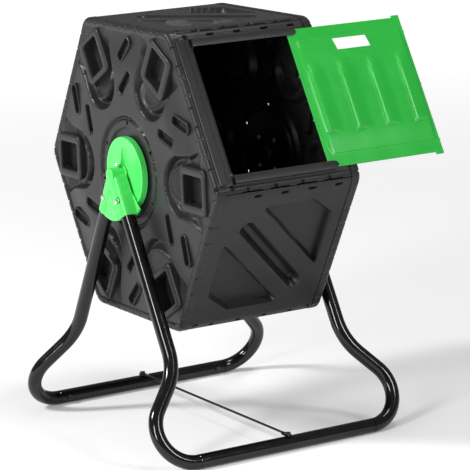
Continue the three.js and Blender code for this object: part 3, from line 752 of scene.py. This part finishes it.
def end_rim():
    """The rim: a bead rolled over from the face to the skirt, pinched where the knuckles are cut apart."""
    points, normals, s = hexagon_path()
    profile = [(-bead_width - 3 * mm, -2.5 * mm), (-bead_width - 3 * mm, 0.2 * mm), (-bead_width, 0.3 * mm)]
    profile += [(-bead_width + 1.5 * mm, 1.2 * mm), (-bead_width + 4 * mm, 2.2 * mm)]
    profile += arc((-7.5 * mm, -5.5 * mm), 8 * mm, 100, 0, 9)
    profile += [(0.5 * mm, -skirt), (-1.9 * mm, -skirt), (-1.9 * mm, -6 * mm), (-8 * mm, -2.5 * mm)]
    grid, faces = carried((points, normals), profile, closed_profile=True)
    outset, height = np.array(profile).T
    on_bead = (height > -skirt + 1 * mm) & (outset + height > -9 * mm)
    bulge = ramp(outset, -bead_width + 1 * mm, -6 * mm) * on_bead
    pinch = knuckle_cuts(s)[:, None] * bulge[None, :]
    grid[:, :, :2] -= (1.5 * mm * pinch * (outset > -6 * mm))[:, :, None] * normals[:, None, :]
    grid[:, :, 2] -= 1.6 * mm * pinch * (height > -3 * mm)
    return grid, faces


def end_panel(side, out):
    """One end panel: its face with a wall, the window frames, trays and slots, and the rim."""
    place = end_frame(out)
    face = sheet(2 * corner_reach, 2 * apothem, 2.2 * mm, end_region, end_relief)
    node = f"end_panel_{side}"
    piece(f"end_face_{side}", [placed(face, place)], "drum", "drum_plastic", [node], thickness=end_wall)
    trims = []
    for corner in range(6):
        for part in [window_collar(), *window_baffle()]:
            trims.append(placed(spun(shifted(part, (window_at, 0, 0)), corner * 60), place))
    for (cx, cy), towards in slot_places():
        trims.append(placed(shifted(spun(end_slot(), towards), (cx, cy, 0)), place))
    piece(f"end_vents_{side}", trims, "drum", "drum_plastic")
    piece(f"end_rim_{side}", [placed(end_rim(), place)], "drum", "drum_plastic")


# ---- Side panels ----
flat_half = (apothem - edge_round) * math.tan(30 * degree)
arc_half = edge_round * 30 * degree
seam = 0.4 * mm
side_half = flat_half + arc_half - seam / 2
side_reach = drum_half - skirt + 1 * mm
recess_depth = 13 * mm
recess_slope = 4.5 * mm
side_wall = 2.4 * mm
side_cell = 2.1 * mm
recess_corners = np.array([(-34, 112), (57, 112), (103, 76), (103, -36), (97, -36), (-40, 106)]) * mm
recess_brow = 13 * mm
diagonal_start, diagonal_end = (-62 * mm, 65 * mm), (65 * mm, -70 * mm)
diagonal_radius, diagonal_depth = 17 * mm, 19 * mm
clip_pitch, clip_reach = 53 * mm, 108 * mm
notch_start, slit_start = 26 * mm, 45 * mm
mark_depth = 7 * mm


def bent(points):
    """Lays a flat relief (along, across, height) over the panel and round the drum's corners on both sides."""
    x, s, h = points.T
    past = np.maximum(np.abs(s) - flat_half, 0) / edge_round
    on_arc = np.abs(s) > flat_half
    y = np.where(on_arc, flat_half + (edge_round + h) * np.sin(past), np.abs(s)) * np.sign(s)
    z = np.where(on_arc, (edge_round + h) * np.cos(past) - edge_round, h)
    return np.stack([x, y, z], 1)


def recesses(x, y):
    """Distance to the side panel's two cut-off corner recesses."""
    return np.minimum(polygon_distance(x, y, recess_corners), polygon_distance(-x, -y, recess_corners))


def diagonal_recess(x, y):
    """Distance to the round-ended recess that runs from corner to corner between them."""
    return bar_distance(x, y, diagonal_start, diagonal_end, diagonal_radius)


def from_nearest(x, start):
    """Signed distance along the drum from the nearest of a row of marks, one clip pitch apart."""
    return (x - start + 20.5 * clip_pitch) % clip_pitch - clip_pitch / 2


def clip_marks(x, s):
    """Distance to the moulded marks: slits along the upper edge, notches with long slits along the lower."""
    from_notch = from_nearest(x, notch_start)
    slit = box_distance(from_nearest(x, slit_start), s - (flat_half + 5 * mm), 7.5 * mm, 2.6 * mm, 0.5 * mm)
    notch = box_distance(from_notch, s + (side_half - 4 * mm), 4.2 * mm, 4.4 * mm, 0.5 * mm)
    long_slit = box_distance(from_notch - 8 * mm, s + (side_half - 0.6 * mm), 20 * mm, 1.6 * mm, 0.3 * mm)
    return np.maximum(np.minimum(np.minimum(notch, slit), long_slit), np.abs(x) - clip_reach)


def corner_holes(x, s):
    """Distance to the round dimple near each end of the lower edge."""
    return np.hypot(np.abs(x) - 113 * mm, s + flat_half + 6 * mm) - 4.6 * mm


def edge_lips(x, s):
    """How far the surface steps down at its two seams and falls away at its two ends."""
    seam_step = 0.8 * mm * (1 - ramp(side_half - np.abs(s), 0, 1.4 * mm))
    return seam_step + 0.7 * mm * (1 - ramp(side_reach - 1 * mm - np.abs(x), 0, 2 * mm))


def side_relief(x, s):
    """Height of a plain side panel: sloped recesses, slits along the seams and a shallow lip at each seam."""
    h = -recess_depth * (1 - ramp(recesses(x, s), -recess_slope, 0))
    h -= diagonal_depth * (1 - ramp(diagonal_recess(x, s), -recess_brow, 0))
    marks = np.minimum(clip_marks(x, s), corner_holes(x, s))
    return h - mark_depth * (1 - ramp(marks, -1.2 * mm, 0)) - edge_lips(x, s)


def side_region(x, s):
    """Distance to a side panel's flat pattern."""
    return np.maximum(np.abs(x) - side_reach, np.abs(s) - side_half)


def side_panel(node, turn):
    """One plain side panel, turned about the drum's axis from the top."""
    features = [
        recesses, lambda x, s: recesses(x, s) + recess_slope, clip_marks,
        diagonal_recess, lambda x, s: diagonal_recess(x, s) + recess_brow,
    ]
    points, faces = sheet(2 * side_reach, 2 * side_half, side_cell, side_region, side_relief, features)
    surface = placed((bent(points), faces), panel_frame(turn))
    piece(node + "_shell", [surface], "drum", "drum_plastic", [node], thickness=side_wall)


# ---- Door frame panel ----
door_turn = 60
opening_low = np.array([-102, -115]) * mm
opening_high = np.array([98, 118]) * mm
rail_end = 100 * mm
rail_straight_end = rail_end - 8 * mm
rail_inner = 118 * mm
rail_outer = 131 * mm
stop_inner = -117 * mm
stop_outer = -132 * mm
frame_wall = 3 * mm


def opening(x, y):
    """Distance to the door opening, a rectangle with round corners."""
    mid, half = (opening_low + opening_high) / 2, (opening_high - opening_low) / 2
    return box_distance(x - mid[0], y - mid[1], half[0], half[1], 8 * mm)


def frame_relief(x, s):
    """Height of the door panel: a rolled lip round the opening, a groove beside the rails and the seam slits."""
    h = 1.2 * mm * (1 - ramp(opening(x, s), 2.5 * mm, 4 * mm))
    h -= 1.2 * mm * (1 - ramp(opening(x, s), 0, 1.2 * mm))
    marks = np.minimum(clip_marks(x, s), frame_holes(x, s))
    h -= 5 * mm * (1 - ramp(marks, -1.3 * mm, 0))
    groove = np.abs(np.abs(s) - (rail_outer + 3 * mm)) - 1 * mm
    return h - 1.2 * mm * (1 - ramp(groove, 0, 1 * mm)) - edge_lips(x, s)


def frame_holes(x, s):
    """Distance to the two square holes beside the stop bar's ends."""
    return box_distance(x + 110 * mm, np.abs(s) - 136 * mm, 4.5 * mm, 4.5 * mm, 1 * mm)


def frame_region(x, s):
    """Distance to the panel round the opening."""
    return np.maximum(side_region(x, s), -opening(x, s))


def rail(way):
    """A guide rail: its hooked section runs along the panel and is drawn round at the open end."""
    section = [(rail_outer, 0), (rail_outer, 4.6 * mm)]
    section += arc((rail_outer - 1.6 * mm, 4.6 * mm), 1.6 * mm, 0, 90)
    section += arc((rail_inner - 1 * mm, 5.2 * mm), 1 * mm, 90, 270)
    section += [(rail_outer - 3.4 * mm, 4.2 * mm), (rail_outer - 3.4 * mm, 0)]
    across, height = np.array(section).T
    length = np.linspace(opening_low[0] - 2 * mm, rail_straight_end, 60)
    y = np.broadcast_to(across, (len(length), len(across)))
    z = np.broadcast_to(height, y.shape)
    x = np.broadcast_to(length[:, None], y.shape)
    bar = np.stack([x, way * y, z], 2)
    angles = np.linspace(0, 90, 7)[:, None] * degree
    centre = (rail_inner + rail_outer) / 2
    off = across[None, :] - centre
    tip_x = rail_straight_end + np.abs(off) * np.sin(angles)
    tip_y = centre + off * np.cos(angles)
    tip = np.stack([tip_x, way * tip_y, np.broadcast_to(height, tip_x.shape)], 2)
    return merged([(grid, flipped(grid_faces(*grid.shape[:2]), way < 0)) for grid in (bar, tip)])


def flipped(faces, turn_over):
    """Faces with their corners in the opposite order where they are to be turned over."""
    return faces[:, ::-1] if turn_over else faces


def stop_bar():
    """The flat bar that the shut door stops against."""
    half = (stop_inner - stop_outer) / 2
    slab = rounded_slab(half, rail_outer, 2 * mm, -0.5 * mm, 3.8 * mm, edge=1 * mm)
    return shifted(slab, ((stop_inner + stop_outer) / 2, 0, 0))


def door_frame_panel():
    """The side panel round the door opening, with its two rails and stop bar."""
    place = panel_frame(door_turn)
    features = [opening, clip_marks, frame_holes]
    points, faces = sheet(2 * side_reach, 2 * side_half, side_cell, frame_region, frame_relief, features)
    surface = placed((bent(points), faces), place)
    node = "door_frame_panel"
    piece("door_frame_shell", [surface], "drum", "drum_plastic", [node], thickness=frame_wall)
    trims = [placed(part, place) for part in (rail(1), rail(-1), stop_bar())]
    piece("door_rails", trims, "drum", "drum_plastic")


# ---- Sliding door ----
door_low = span("sliding_door", 0)[0] - drum_middle
door_high = span("sliding_door", 0)[1] - drum_middle
door_half = 127 * mm
lug_width = 15 * mm
lug_reach = 4 * mm
flange_top = 3.5 * mm
field_top = 8.8 * mm
field_edge = 106 * mm
rib_pitch, rib_height, rib_end = 60.3 * mm, 6.4 * mm, 68 * mm
first_rib = door_low + 16 * mm
door_wall = 2.2 * mm


def door_region(x, y):
    """Distance to the door's outline: a plate with a lug past each end of its right edge."""
    middle, half_width = (door_low + door_high) / 2, (door_high - door_low) / 2
    plate = box_distance(x - middle, y, half_width, door_half, 1 * mm)
    lug = box_distance(x - door_high + lug_width / 2, y, lug_width / 2, door_half + lug_reach, 1 * mm)
    return np.minimum(plate, lug)


def door_pips():
    """Small round pips moulded on the door's two upright edges."""
    places = [(door_high - 1 * mm, y * mm) for y in (100, 0, -105)]
    places += [(door_low + 1 * mm, y * mm) for y in (40, -40)]
    profile = [(2.6 * mm, 0), (2.6 * mm, 2 * mm), (2.2 * mm, 2.8 * mm), (0.01 * mm, 3 * mm)]
    return [shifted(lathe(profile, 20), (x, y, 0.8 * mm)) for x, y in places]


def door_relief(x, y):
    """Height of the door's outer face.

    A field stands above the flange: a short step all round, then long slopes at top and bottom. Four ribs on it
    rise sharply on the left, fall away slowly to the right and end in arches.
    """
    left, right = x - door_low, door_high - x
    chamfer = 0.35 * np.maximum(np.abs(y) - 92 * mm, 0)
    from_left = left - chamfer - 8 * mm
    step = np.minimum(from_left / (7 * mm), (right - 6 * mm) / (5 * mm))
    step = ramp(np.minimum(step, (field_edge - np.abs(y)) / (4 * mm)), 0, 1)
    long_slope = np.where(y > 0, ramp(field_edge - y, 0, 26 * mm), ramp(field_edge + y, 0, 36 * mm))
    field = (field_top - flange_top) * step * (0.45 + 0.55 * long_slope)
    phase = np.mod(x - first_rib + 8 * mm, rib_pitch) - 8 * mm
    arch = np.clip((phase - 16 * mm) / (20 * mm), -1, 1)
    top_end = rib_end - 10 * mm * arch**2
    ends = ramp(top_end - y, -4 * mm, 36 * mm) * ramp(rib_end + y, 0, 4 * mm)
    rib = ramp(phase, -2.5 * mm, 2 * mm) * (1 - ramp(phase, 1.5 * mm, 36 * mm))
    bow = 1 - 0.12 * (y / (70 * mm)) ** 2
    on = (x > first_rib - 8 * mm) & (x < first_rib + 3.75 * rib_pitch) & (right > 8 * mm)
    return flange_top + field - 1.2 * mm * step * on + rib_height * rib * ends * on * bow


def sliding_door():
    """The door: its ribbed plate with a wall, and its pips."""
    place = panel_frame(door_turn)
    width, middle = door_high - door_low + 4 * mm, (door_low + door_high) / 2
    depth = 2 * (door_half + lug_reach) + 4 * mm
    part = sheet(width, depth, 1.4 * mm, door_region, door_relief, middle=(middle, 0))
    piece("door_shell", [placed(part, place)], "door", "door_green", ["sliding_door"], thickness=door_wall)
    piece("door_pips", [placed(pip, place) for pip in door_pips()], "door", "door_green")


def door_label():
    """A thin blank plate with leaning ends, resting on the door's face."""
    label_x = middle_of("door_label")[0] - drum_middle
    label_y, lean = 90 * mm, 0.12
    points, faces = rounded_slab(33.5 * mm, 10.8 * mm, 1 * mm, 0, 0.5 * mm, edge=0.2 * mm)
    points = points + [label_x, label_y, 0]
    points[:, 0] -= (points[:, 1] - label_y) * lean
    points[:, 2] += door_relief(points[:, 0], points[:, 1]) + 0.25 * mm
    plate = placed((points, faces), panel_frame(door_turn))
    piece("door_blank_label", [plate], "door", "label_white", ["door_label"])


# ---- Hubs and brackets ----
hub_radius = (span("hub_disc_left", 2)[1] - span("hub_disc_left", 2)[0]) / 2
hub_low = 2.5 * mm
hub_high = left_face - span("hub_disc_left", 0)[0]
bracket_low = hub_high + 1.3 * mm
leg_stand_off = 30.7 * mm
cover_top = left_face - span("bracket_outer_left", 0)[0]
sleeve = cover_top - leg_stand_off
cover_radius = 80 * mm
inner_plate = 3 * mm
flange_angle = 47
boss_radius = 12.8 * mm
boss_top = cover_top - 1 * mm
set_screw_out = left_face - middle_of("set_screw_left")[0]
screw_down_leg = 48 * mm
sleeve_start = 10 * mm
dash_pitch, dash_half, dash_side = 14.5 * mm, 5.2 * mm, 12 * mm
gusset_rise, gusset_depth = 34 * mm, 5.5 * mm


def hub_disc(side, out):
    """A turned disc with a softened rim, a shallow dish round the boss and a plain bore."""
    top, low, r = hub_high, hub_low, hub_radius
    profile = [(11 * mm, low), (11 * mm, top - 0.6 * mm), (11.6 * mm, top), (17.5 * mm, top)]
    profile += [(18.3 * mm, top - 0.4 * mm), (r - 5 * mm, top - 0.4 * mm), (r - 4.2 * mm, top)]
    profile += arc((r - 1.6 * mm, top - 1.6 * mm), 1.6 * mm, 90, 0)
    profile += [(r, low + 0.6 * mm), (r - 0.6 * mm, low)]
    disc = placed(lathe(profile[::-1], 96, closed=True), end_frame(out))
    piece(f"hub_{side}", [disc], "drum", "hub_green", [f"hub_disc_{side}"])


def leg_coordinates(x, y):
    """Distance down the nearer leg from the axis, and distance outwards from its centreline."""
    c, s = math.cos(leg_tilt), math.sin(leg_tilt)
    return np.abs(x) * s - y * c, np.abs(x) * c + y * s


def bracket_region(x, y):
    """Distance to the cover: two sleeves that start round a little down each leg, and all between them."""
    down, outward = leg_coordinates(x, y)
    start_cap = np.hypot(down - sleeve_start, outward)
    side = np.where(down < sleeve_start, start_cap, outward) - sleeve
    return np.maximum(side, np.hypot(x, y) - cover_radius)


def bracket_dashes(x, y):
    """Distance to the broken slit along the inner side of each sleeve."""
    down, outward = leg_coordinates(x, y)
    along = np.abs(np.mod(down - 20.5 * mm, dash_pitch) - dash_pitch / 2)
    ends = np.maximum(along - dash_half, np.abs(down - 49.5 * mm) - 2 * dash_pitch)
    return np.maximum(ends, np.abs(outward + dash_side) - 1.3 * mm)


def bracket_relief(x, y):
    """Height of the bracket's shell: a flat cover between the legs that bends over each leg like a sleeve.

    The broken slits and a shallow dimple beside each leg screw are sunk into it.
    """
    down, outward = leg_coordinates(x, y)
    over = np.clip(outward, 0, sleeve)
    h = leg_stand_off + np.sqrt(sleeve**2 - over**2)
    h -= 1.6 * mm * ramp(-outward, 5 * mm, 11 * mm)
    h -= 3 * mm * (1 - ramp(bracket_dashes(x, y), -0.5 * mm, 0.2 * mm))
    head = np.hypot(down - screw_down_leg, outward)
    spot = np.hypot(down - screw_down_leg, outward - 4 * mm) - 6.4 * mm
    h -= 2.2 * mm * (1 - ramp(spot, -0.8 * mm, 0)) * (head > 4.6 * mm)
    edge = -bracket_region(x, y)
    wall_foot = bracket_low + inner_plate - 0.5 * mm
    h -= 1 * mm * (1 - ramp(edge, 0.8 * mm, 3 * mm)) * (outward < 8 * mm)
    return wall_foot + (h - wall_foot) * ramp(edge, -0.1 * mm, 0.9 * mm)


def fan_plate():
    """The clamped plate against the drum: a fan between the legs, closed and softened at its edges."""
    start, end = -90 - flange_angle, -90 + flange_angle
    edge = np.array(arc((0, 0), cover_radius, start, end, 48))
    hub = np.array(arc((0, 0), 15 * mm, end, start + 360, 30))
    points = np.concatenate([edge, hub])
    heading = np.roll(points, -1, 0) - np.roll(points, 1, 0)
    normals = np.stack([heading[:, 1], -heading[:, 0]], 1) / np.linalg.norm(heading, axis=1)[:, None]
    low, high, soft = bracket_low, bracket_low + inner_plate, 0.6 * mm
    profile = [(-4 * mm, low), (-soft, low), (0, low + soft), (0, high - soft), (-soft, high), (-4 * mm, high)]
    grid, faces = carried((points, normals), profile)
    middle = np.array([0, -30 * mm, 0])
    return merged([(grid, faces), lid(grid[:, 0], False, middle), lid(grid[:, -1], True, middle)])


def bracket_boss():
    """The round boss that holds the axle's end: a turned shape with a soft brow and a slightly sunk face."""
    top, r, soft = boss_top, boss_radius, 1.8 * mm
    sunk = top - 0.6 * mm
    profile = [(r, bracket_low + 1 * mm), (r, top - soft)] + arc((r - soft, top - soft), soft, 0, 90)
    profile += [(r - 4 * mm, top), (r - 4.6 * mm, sunk), (4 * mm, sunk), (0.01 * mm, sunk)]
    return lathe(profile, 64)


def gusset():
    """A thin web in the upright plane: a flat U in section, its depth falling evenly away from the boss."""
    rows, columns = 14, 13
    v = np.linspace(0, 1, rows)[:, None]
    t = np.linspace(0, 1, columns)[None, :]
    around = np.clip(np.abs(t - 0.5) * 4 - 1, 0, 1)
    half = 1 * mm * (1 - 0.5 * v)
    x = half * np.sign(t - 0.5) * np.where(around > 0, 1, np.abs(t - 0.5) * 4)
    y = boss_radius - 1 * mm + gusset_rise * v + 0 * t
    z = bracket_low + 0.1 * mm + (gusset_depth * (1 - v) + 1 * mm) * (1 - around)
    return np.stack([x, y, z], 2), grid_faces(rows, columns)[:, ::-1]


def set_screw_pad():
    """The raised round seat under the set screw's head, on top of the boss."""
    top = boss_radius + 3 * mm
    profile = [(5.4 * mm, boss_radius - 3 * mm), (4.6 * mm, top - 0.6 * mm), (4 * mm, top), (0.01 * mm, top)]
    points, faces = lathe(profile, 36)
    points = points.reshape(-1, 3)
    return np.stack([points[:, 0], points[:, 2], set_screw_out - points[:, 1]], 1), faces


def bracket(side, out):
    """One bracket: the outer cover with its boss, web and screw pad, and the plate behind it."""
    place = end_frame(out)
    creases = (lambda x, y: bracket_region(x, y) + 0.9 * mm, bracket_dashes)
    middle = (0, (sleeve - cover_radius) / 2)
    width, depth = 2 * cover_radius, cover_radius + 2 * sleeve
    shell = sheet(width, depth, 1.5 * mm, bracket_region, bracket_relief, creases, middle)
    parts = [placed(part, place) for part in (shell, bracket_boss(), gusset(), set_screw_pad())]
    piece(f"bracket_cover_{side}", parts, "stand", "hub_green", [f"bracket_outer_{side}"])
    node = f"bracket_inner_{side}"
    piece(f"bracket_plate_{side}", [placed(fan_plate(), place)], "stand", "hub_green", [node])


# ---- Fasteners ----
head_radius, head_height = 5 * mm, 3 * mm
shank_radius, shank_length = 2.5 * mm, 8 * mm


def screw():
    """A pan-head screw turned about its axis: a low dome with a cross recess, and a short shank."""
    r = np.linspace(0.0001, 1, 12) * head_radius * 0.86
    dome = head_height - 0.9 * mm * (r / head_radius) ** 2.5
    r = np.concatenate([r, head_radius * np.array([0.93, 0.98, 1.0, 1.0, 0.98])])
    dome = np.concatenate([dome, head_height * np.array([0.62, 0.5, 0.34, 0.1, 0.0])])
    r = np.concatenate([r, [shank_radius, shank_radius, 0.0001 * head_radius]])
    dome = np.concatenate([dome, [0, -shank_length, -shank_length]])
    sides = 48
    t = np.arange(sides) * 2 * math.pi / sides
    x, y = np.cos(t)[:, None] * r, np.sin(t)[:, None] * r
    z = np.broadcast_to(dome, x.shape).copy()
    cross = np.maximum(np.minimum(np.abs(x), np.abs(y)) - 0.55 * mm, np.hypot(x, y) - 2.8 * mm)
    sunk = 1.5 * mm * (1 - ramp(cross, -0.1 * mm, 0.35 * mm))
    z -= sunk * (z > 0.6 * head_height)
    return np.stack([x, y, z], 2), grid_faces(sides, len(r), True, False)[:, ::-1]


def aimed(part, position, direction, turn):
    """Moves a part so that its third axis points along a direction from a position."""
    w = np.asarray(direction, float)
    w = w / np.linalg.norm(w)
    helper = np.array([1.0, 0, 0]) if abs(w[0]) < 0.9 else np.array([0, 1.0, 0])
    u = np.cross(helper, w)
    u /= np.linalg.norm(u)
    points, faces = spun(part, turn)
    return position + points @ np.array([u, np.cross(w, u), w]), faces


def screw_head(node, body, direction, turn):
    """A screw for a CAD node, its head's top level with the far side of the node's box along a direction."""
    low, high = (np.array(corner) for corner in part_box(node))
    direction = np.asarray(direction, float)
    reach = np.abs(direction) @ (high - low) / 2
    seat = (low + high) / 2 + (reach - head_height) * direction
    piece("head_" + node, [aimed(screw(), seat, direction, turn)], body, "zinc_steel", [node])


def fasteners(side, out):
    """One bracket's leg screws and set screw, and the four screws inside the drum that hold its hub disc."""
    for leg_name, turn in (("front", 20), ("rear", 65)):
        screw_head(f"leg_screw_{leg_name}_{side}", "stand", (out, 0, 0), turn)
    screw_head(f"set_screw_{side}", "stand", (0, 0, 1), 30)
    for number in range(1, 5):
        screw_head(f"hub_screw_{side}_{number}", "drum", (-out, 0, 0), 25 * number)


# ---- Stand ----
tube_wall = 1.5 * mm
leg_start = 30 * mm
flare_rise = 160.4 * mm
flare_reach = 132.7 * mm
knee_bend = 100 * mm
foot_bend = 60 * mm
plane_length = math.hypot(foot_depth, axis_point[2] - tube_radius)
leg_half_span = drum_half + leg_stand_off
foot_corner = leg_half_span + flare_reach
bar_half = (span("front_floor_bar", 0)[1] - span("front_floor_bar", 0)[0]) / 2


def route(corners, radii, step=5 * mm):
    """A flat path with rounded corners, as points and tangents: straights joined by arcs that touch both."""
    points, tangents = [], []
    corners = np.asarray(corners, float)
    last = corners[0]
    for i in range(1, len(corners) - 1):
        before = corners[i] - corners[i - 1]
        after = corners[i + 1] - corners[i]
        before, after = before / np.linalg.norm(before), after / np.linalg.norm(after)
        turn = math.acos(np.clip(before @ after, -1, 1))
        cut = radii[i - 1] * math.tan(turn / 2)
        start = corners[i] - cut * before
        ways = np.linspace(0, 1, max(2, int(np.linalg.norm(start - last) / (3 * step))))[:-1, None]
        points.append(last + ways * (start - last))
        tangents.append(np.broadcast_to(before, (len(ways), 2)))
        inward = after - (after @ before) * before
        inward /= np.linalg.norm(inward)
        a = np.linspace(0, turn, max(4, int(turn * radii[i - 1] / step)))[:, None]
        points.append(start + radii[i - 1] * (np.sin(a) * before + (1 - np.cos(a)) * inward))
        tangents.append(np.cos(a) * before + np.sin(a) * inward)
        last = corners[i] + cut * after
    end = corners[-1]
    direction = (end - corners[-2]) / np.linalg.norm(end - corners[-2])
    ways = np.linspace(0, 1, 6)[1:, None]
    points.append(last + ways * (end - last))
    tangents.append(np.broadcast_to(direction, (5, 2)))
    return np.concatenate(points), np.concatenate(tangents)


def swept_tube(path, radius, sides=40):
    """A round tube along a flat path; its first and last rings are drawn in a little to soften the ends."""
    points, tangents = path
    first, last = points[0], points[-1]
    soft = 0.8 * mm
    head = [first, first, first + soft * tangents[0]]
    tail = [last - soft * tangents[-1], last, last]
    points = np.concatenate([head, points[1:-1], tail])
    tangents = np.concatenate([[tangents[0]] * 3, tangents[1:-1], [tangents[-1]] * 3])
    rings = np.full(len(points), radius)
    rings[[0, -1]] = radius - tube_wall
    rings[[1, -2]] = radius - 0.6 * mm
    t = np.arange(sides) * 2 * math.pi / sides
    across = np.stack([tangents[:, 1], -tangents[:, 0]], 1)
    flat = points[:, None, :] + (rings[:, None] * np.cos(t))[:, :, None] * across[:, None, :]
    depth = rings[:, None] * np.sin(t)
    grid = np.stack([flat[..., 0], depth, flat[..., 1]], 2)
    return grid, grid_faces(len(points), sides, False, True)


def leg(way, out, name):
    """A bent leg: down from the bracket, out over a knee and in again along the floor."""
    knee = -(plane_length - flare_rise)
    corners = [
        (out * leg_half_span, -leg_start), (out * leg_half_span, knee), (out * foot_corner, -plane_length),
        (out * (bar_half + 0.6 * mm), -plane_length),
    ]
    grid, faces = swept_tube(route(corners, (knee_bend, foot_bend)), tube_radius)
    tilt = way * leg_tilt
    c, s = math.cos(tilt), math.sin(tilt)
    x, y, z = np.moveaxis(grid, 2, 0)
    world = np.stack([x + drum_middle, y * c - z * s, axis_point[2] + y * s + z * c], 2)
    side = "right" if out > 0 else "left"
    parts = [(world, flipped(faces, out < 0)), joint_sleeve(way, out)]
    piece(f"{name}_tube_{side}", parts, "stand", "black_tube", [f"{name}_leg_{side}"])


def along_x(profile, y, z, sides=40):
    """A profile of (x, radius) turned about a line parallel to X."""
    x, radius = np.asarray(profile, float).T
    t = np.arange(sides) * 2 * math.pi / sides
    along = np.broadcast_to(x[:, None], (len(x), sides))
    grid = np.stack([along, y + radius[:, None] * np.cos(t), z + radius[:, None] * np.sin(t)], 2)
    return grid, grid_faces(len(x), sides, False, True)


def joint_sleeve(way, out):
    """The narrowed end of the leg, seen in the joint between leg and floor bar."""
    x = drum_middle + out * bar_half
    profile = [(x - 8 * mm, tube_radius - 1.6 * mm), (x + 8 * mm, tube_radius - 1.6 * mm)]
    return along_x(profile, way * foot_depth, tube_radius)


def floor_bar(way, name):
    """A straight tube along the floor, its ends softened."""
    end, r, soft = bar_half - 0.5 * mm, tube_radius, 0.7 * mm
    profile = [(-end, r - tube_wall), (-end, r - soft), (-end + soft, r)]
    profile += [(x, r) for x in np.linspace(-end + 12 * mm, end - 12 * mm, 25)]
    profile += [(end - soft, r), (end, r - soft), (end, r - tube_wall)]
    profile = np.array(profile) + [drum_middle, 0]
    bar = along_x(profile, way * foot_depth, tube_radius)
    piece(f"{name}_bar", [bar], "stand", "black_tube", [f"{name}_floor_bar"])


def brace_rod():
    """A thin rod that widens and flattens into a round-ended pad over each floor bar.

    Its section is a rounded box: the cosine and sine of an angle, each raised to a power, times half the width
    and half the thickness, which both depend on the distance from the nearer end.
    """
    low, high = (np.array(corner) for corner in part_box("brace_rod"))
    rod_radius, pad_thick = 2 * mm, 1.3 * mm
    rows, sides = 241, 20
    v = np.linspace(-1, 1, rows)
    half = (high[1] - low[1]) / 2
    y = half * np.sign(v) * (1 - (1 - np.abs(v)) ** 1.5)
    from_end = half - np.abs(y)
    pad = (high[0] - low[0]) / 2
    flat = 1 - ramp(from_end, 15 * mm, 30 * mm)
    tip = np.sqrt(np.clip(1 - (1 - np.clip(from_end / pad, 0, 1)) ** 2, 0, 1))
    wide = (rod_radius + (pad - rod_radius) * flat) * np.where(from_end < pad, tip, 1)
    wide = np.maximum(wide, 0.02 * mm)
    thick = rod_radius - (rod_radius - pad_thick) * flat
    thick = thick * np.where(from_end < 1 * mm, np.sqrt(np.clip(from_end / mm, 0.0001, 1)), 1)
    t = np.arange(sides) * 2 * math.pi / sides
    squareness = 0.75
    cx = np.sign(np.cos(t)) * np.abs(np.cos(t)) ** squareness
    cz = np.sign(np.sin(t)) * np.abs(np.sin(t)) ** squareness
    x = (low[0] + high[0]) / 2 + wide[:, None] * cx
    z = (low[2] + 0.05 * mm + thick)[:, None] + thick[:, None] * cz
    grid = np.stack([x, np.broadcast_to(y[:, None], (rows, sides)), z], 2)
    faces = grid_faces(rows, sides, False, True)[:, ::-1]
    piece("brace", [(grid, faces)], "stand", "black_tube", ["brace_rod"])


# ---- The whole object ----
for side, out in (("left", -1), ("right", 1)):
    end_panel(side, out)
    hub_disc(side, out)
    bracket(side, out)
    fasteners(side, out)
    leg(-1, out, "front")
    leg(1, out, "rear")
for node, turn in (
    ("side_panel_top", 0), ("side_panel_front_lower", 120), ("side_panel_bottom", 180),
    ("side_panel_rear_lower", 240), ("side_panel_rear_upper", 300),
):
    side_panel(node, turn)
door_frame_panel()
sliding_door()
door_label()
floor_bar(-1, "front")
floor_bar(1, "rear")
brace_rod()
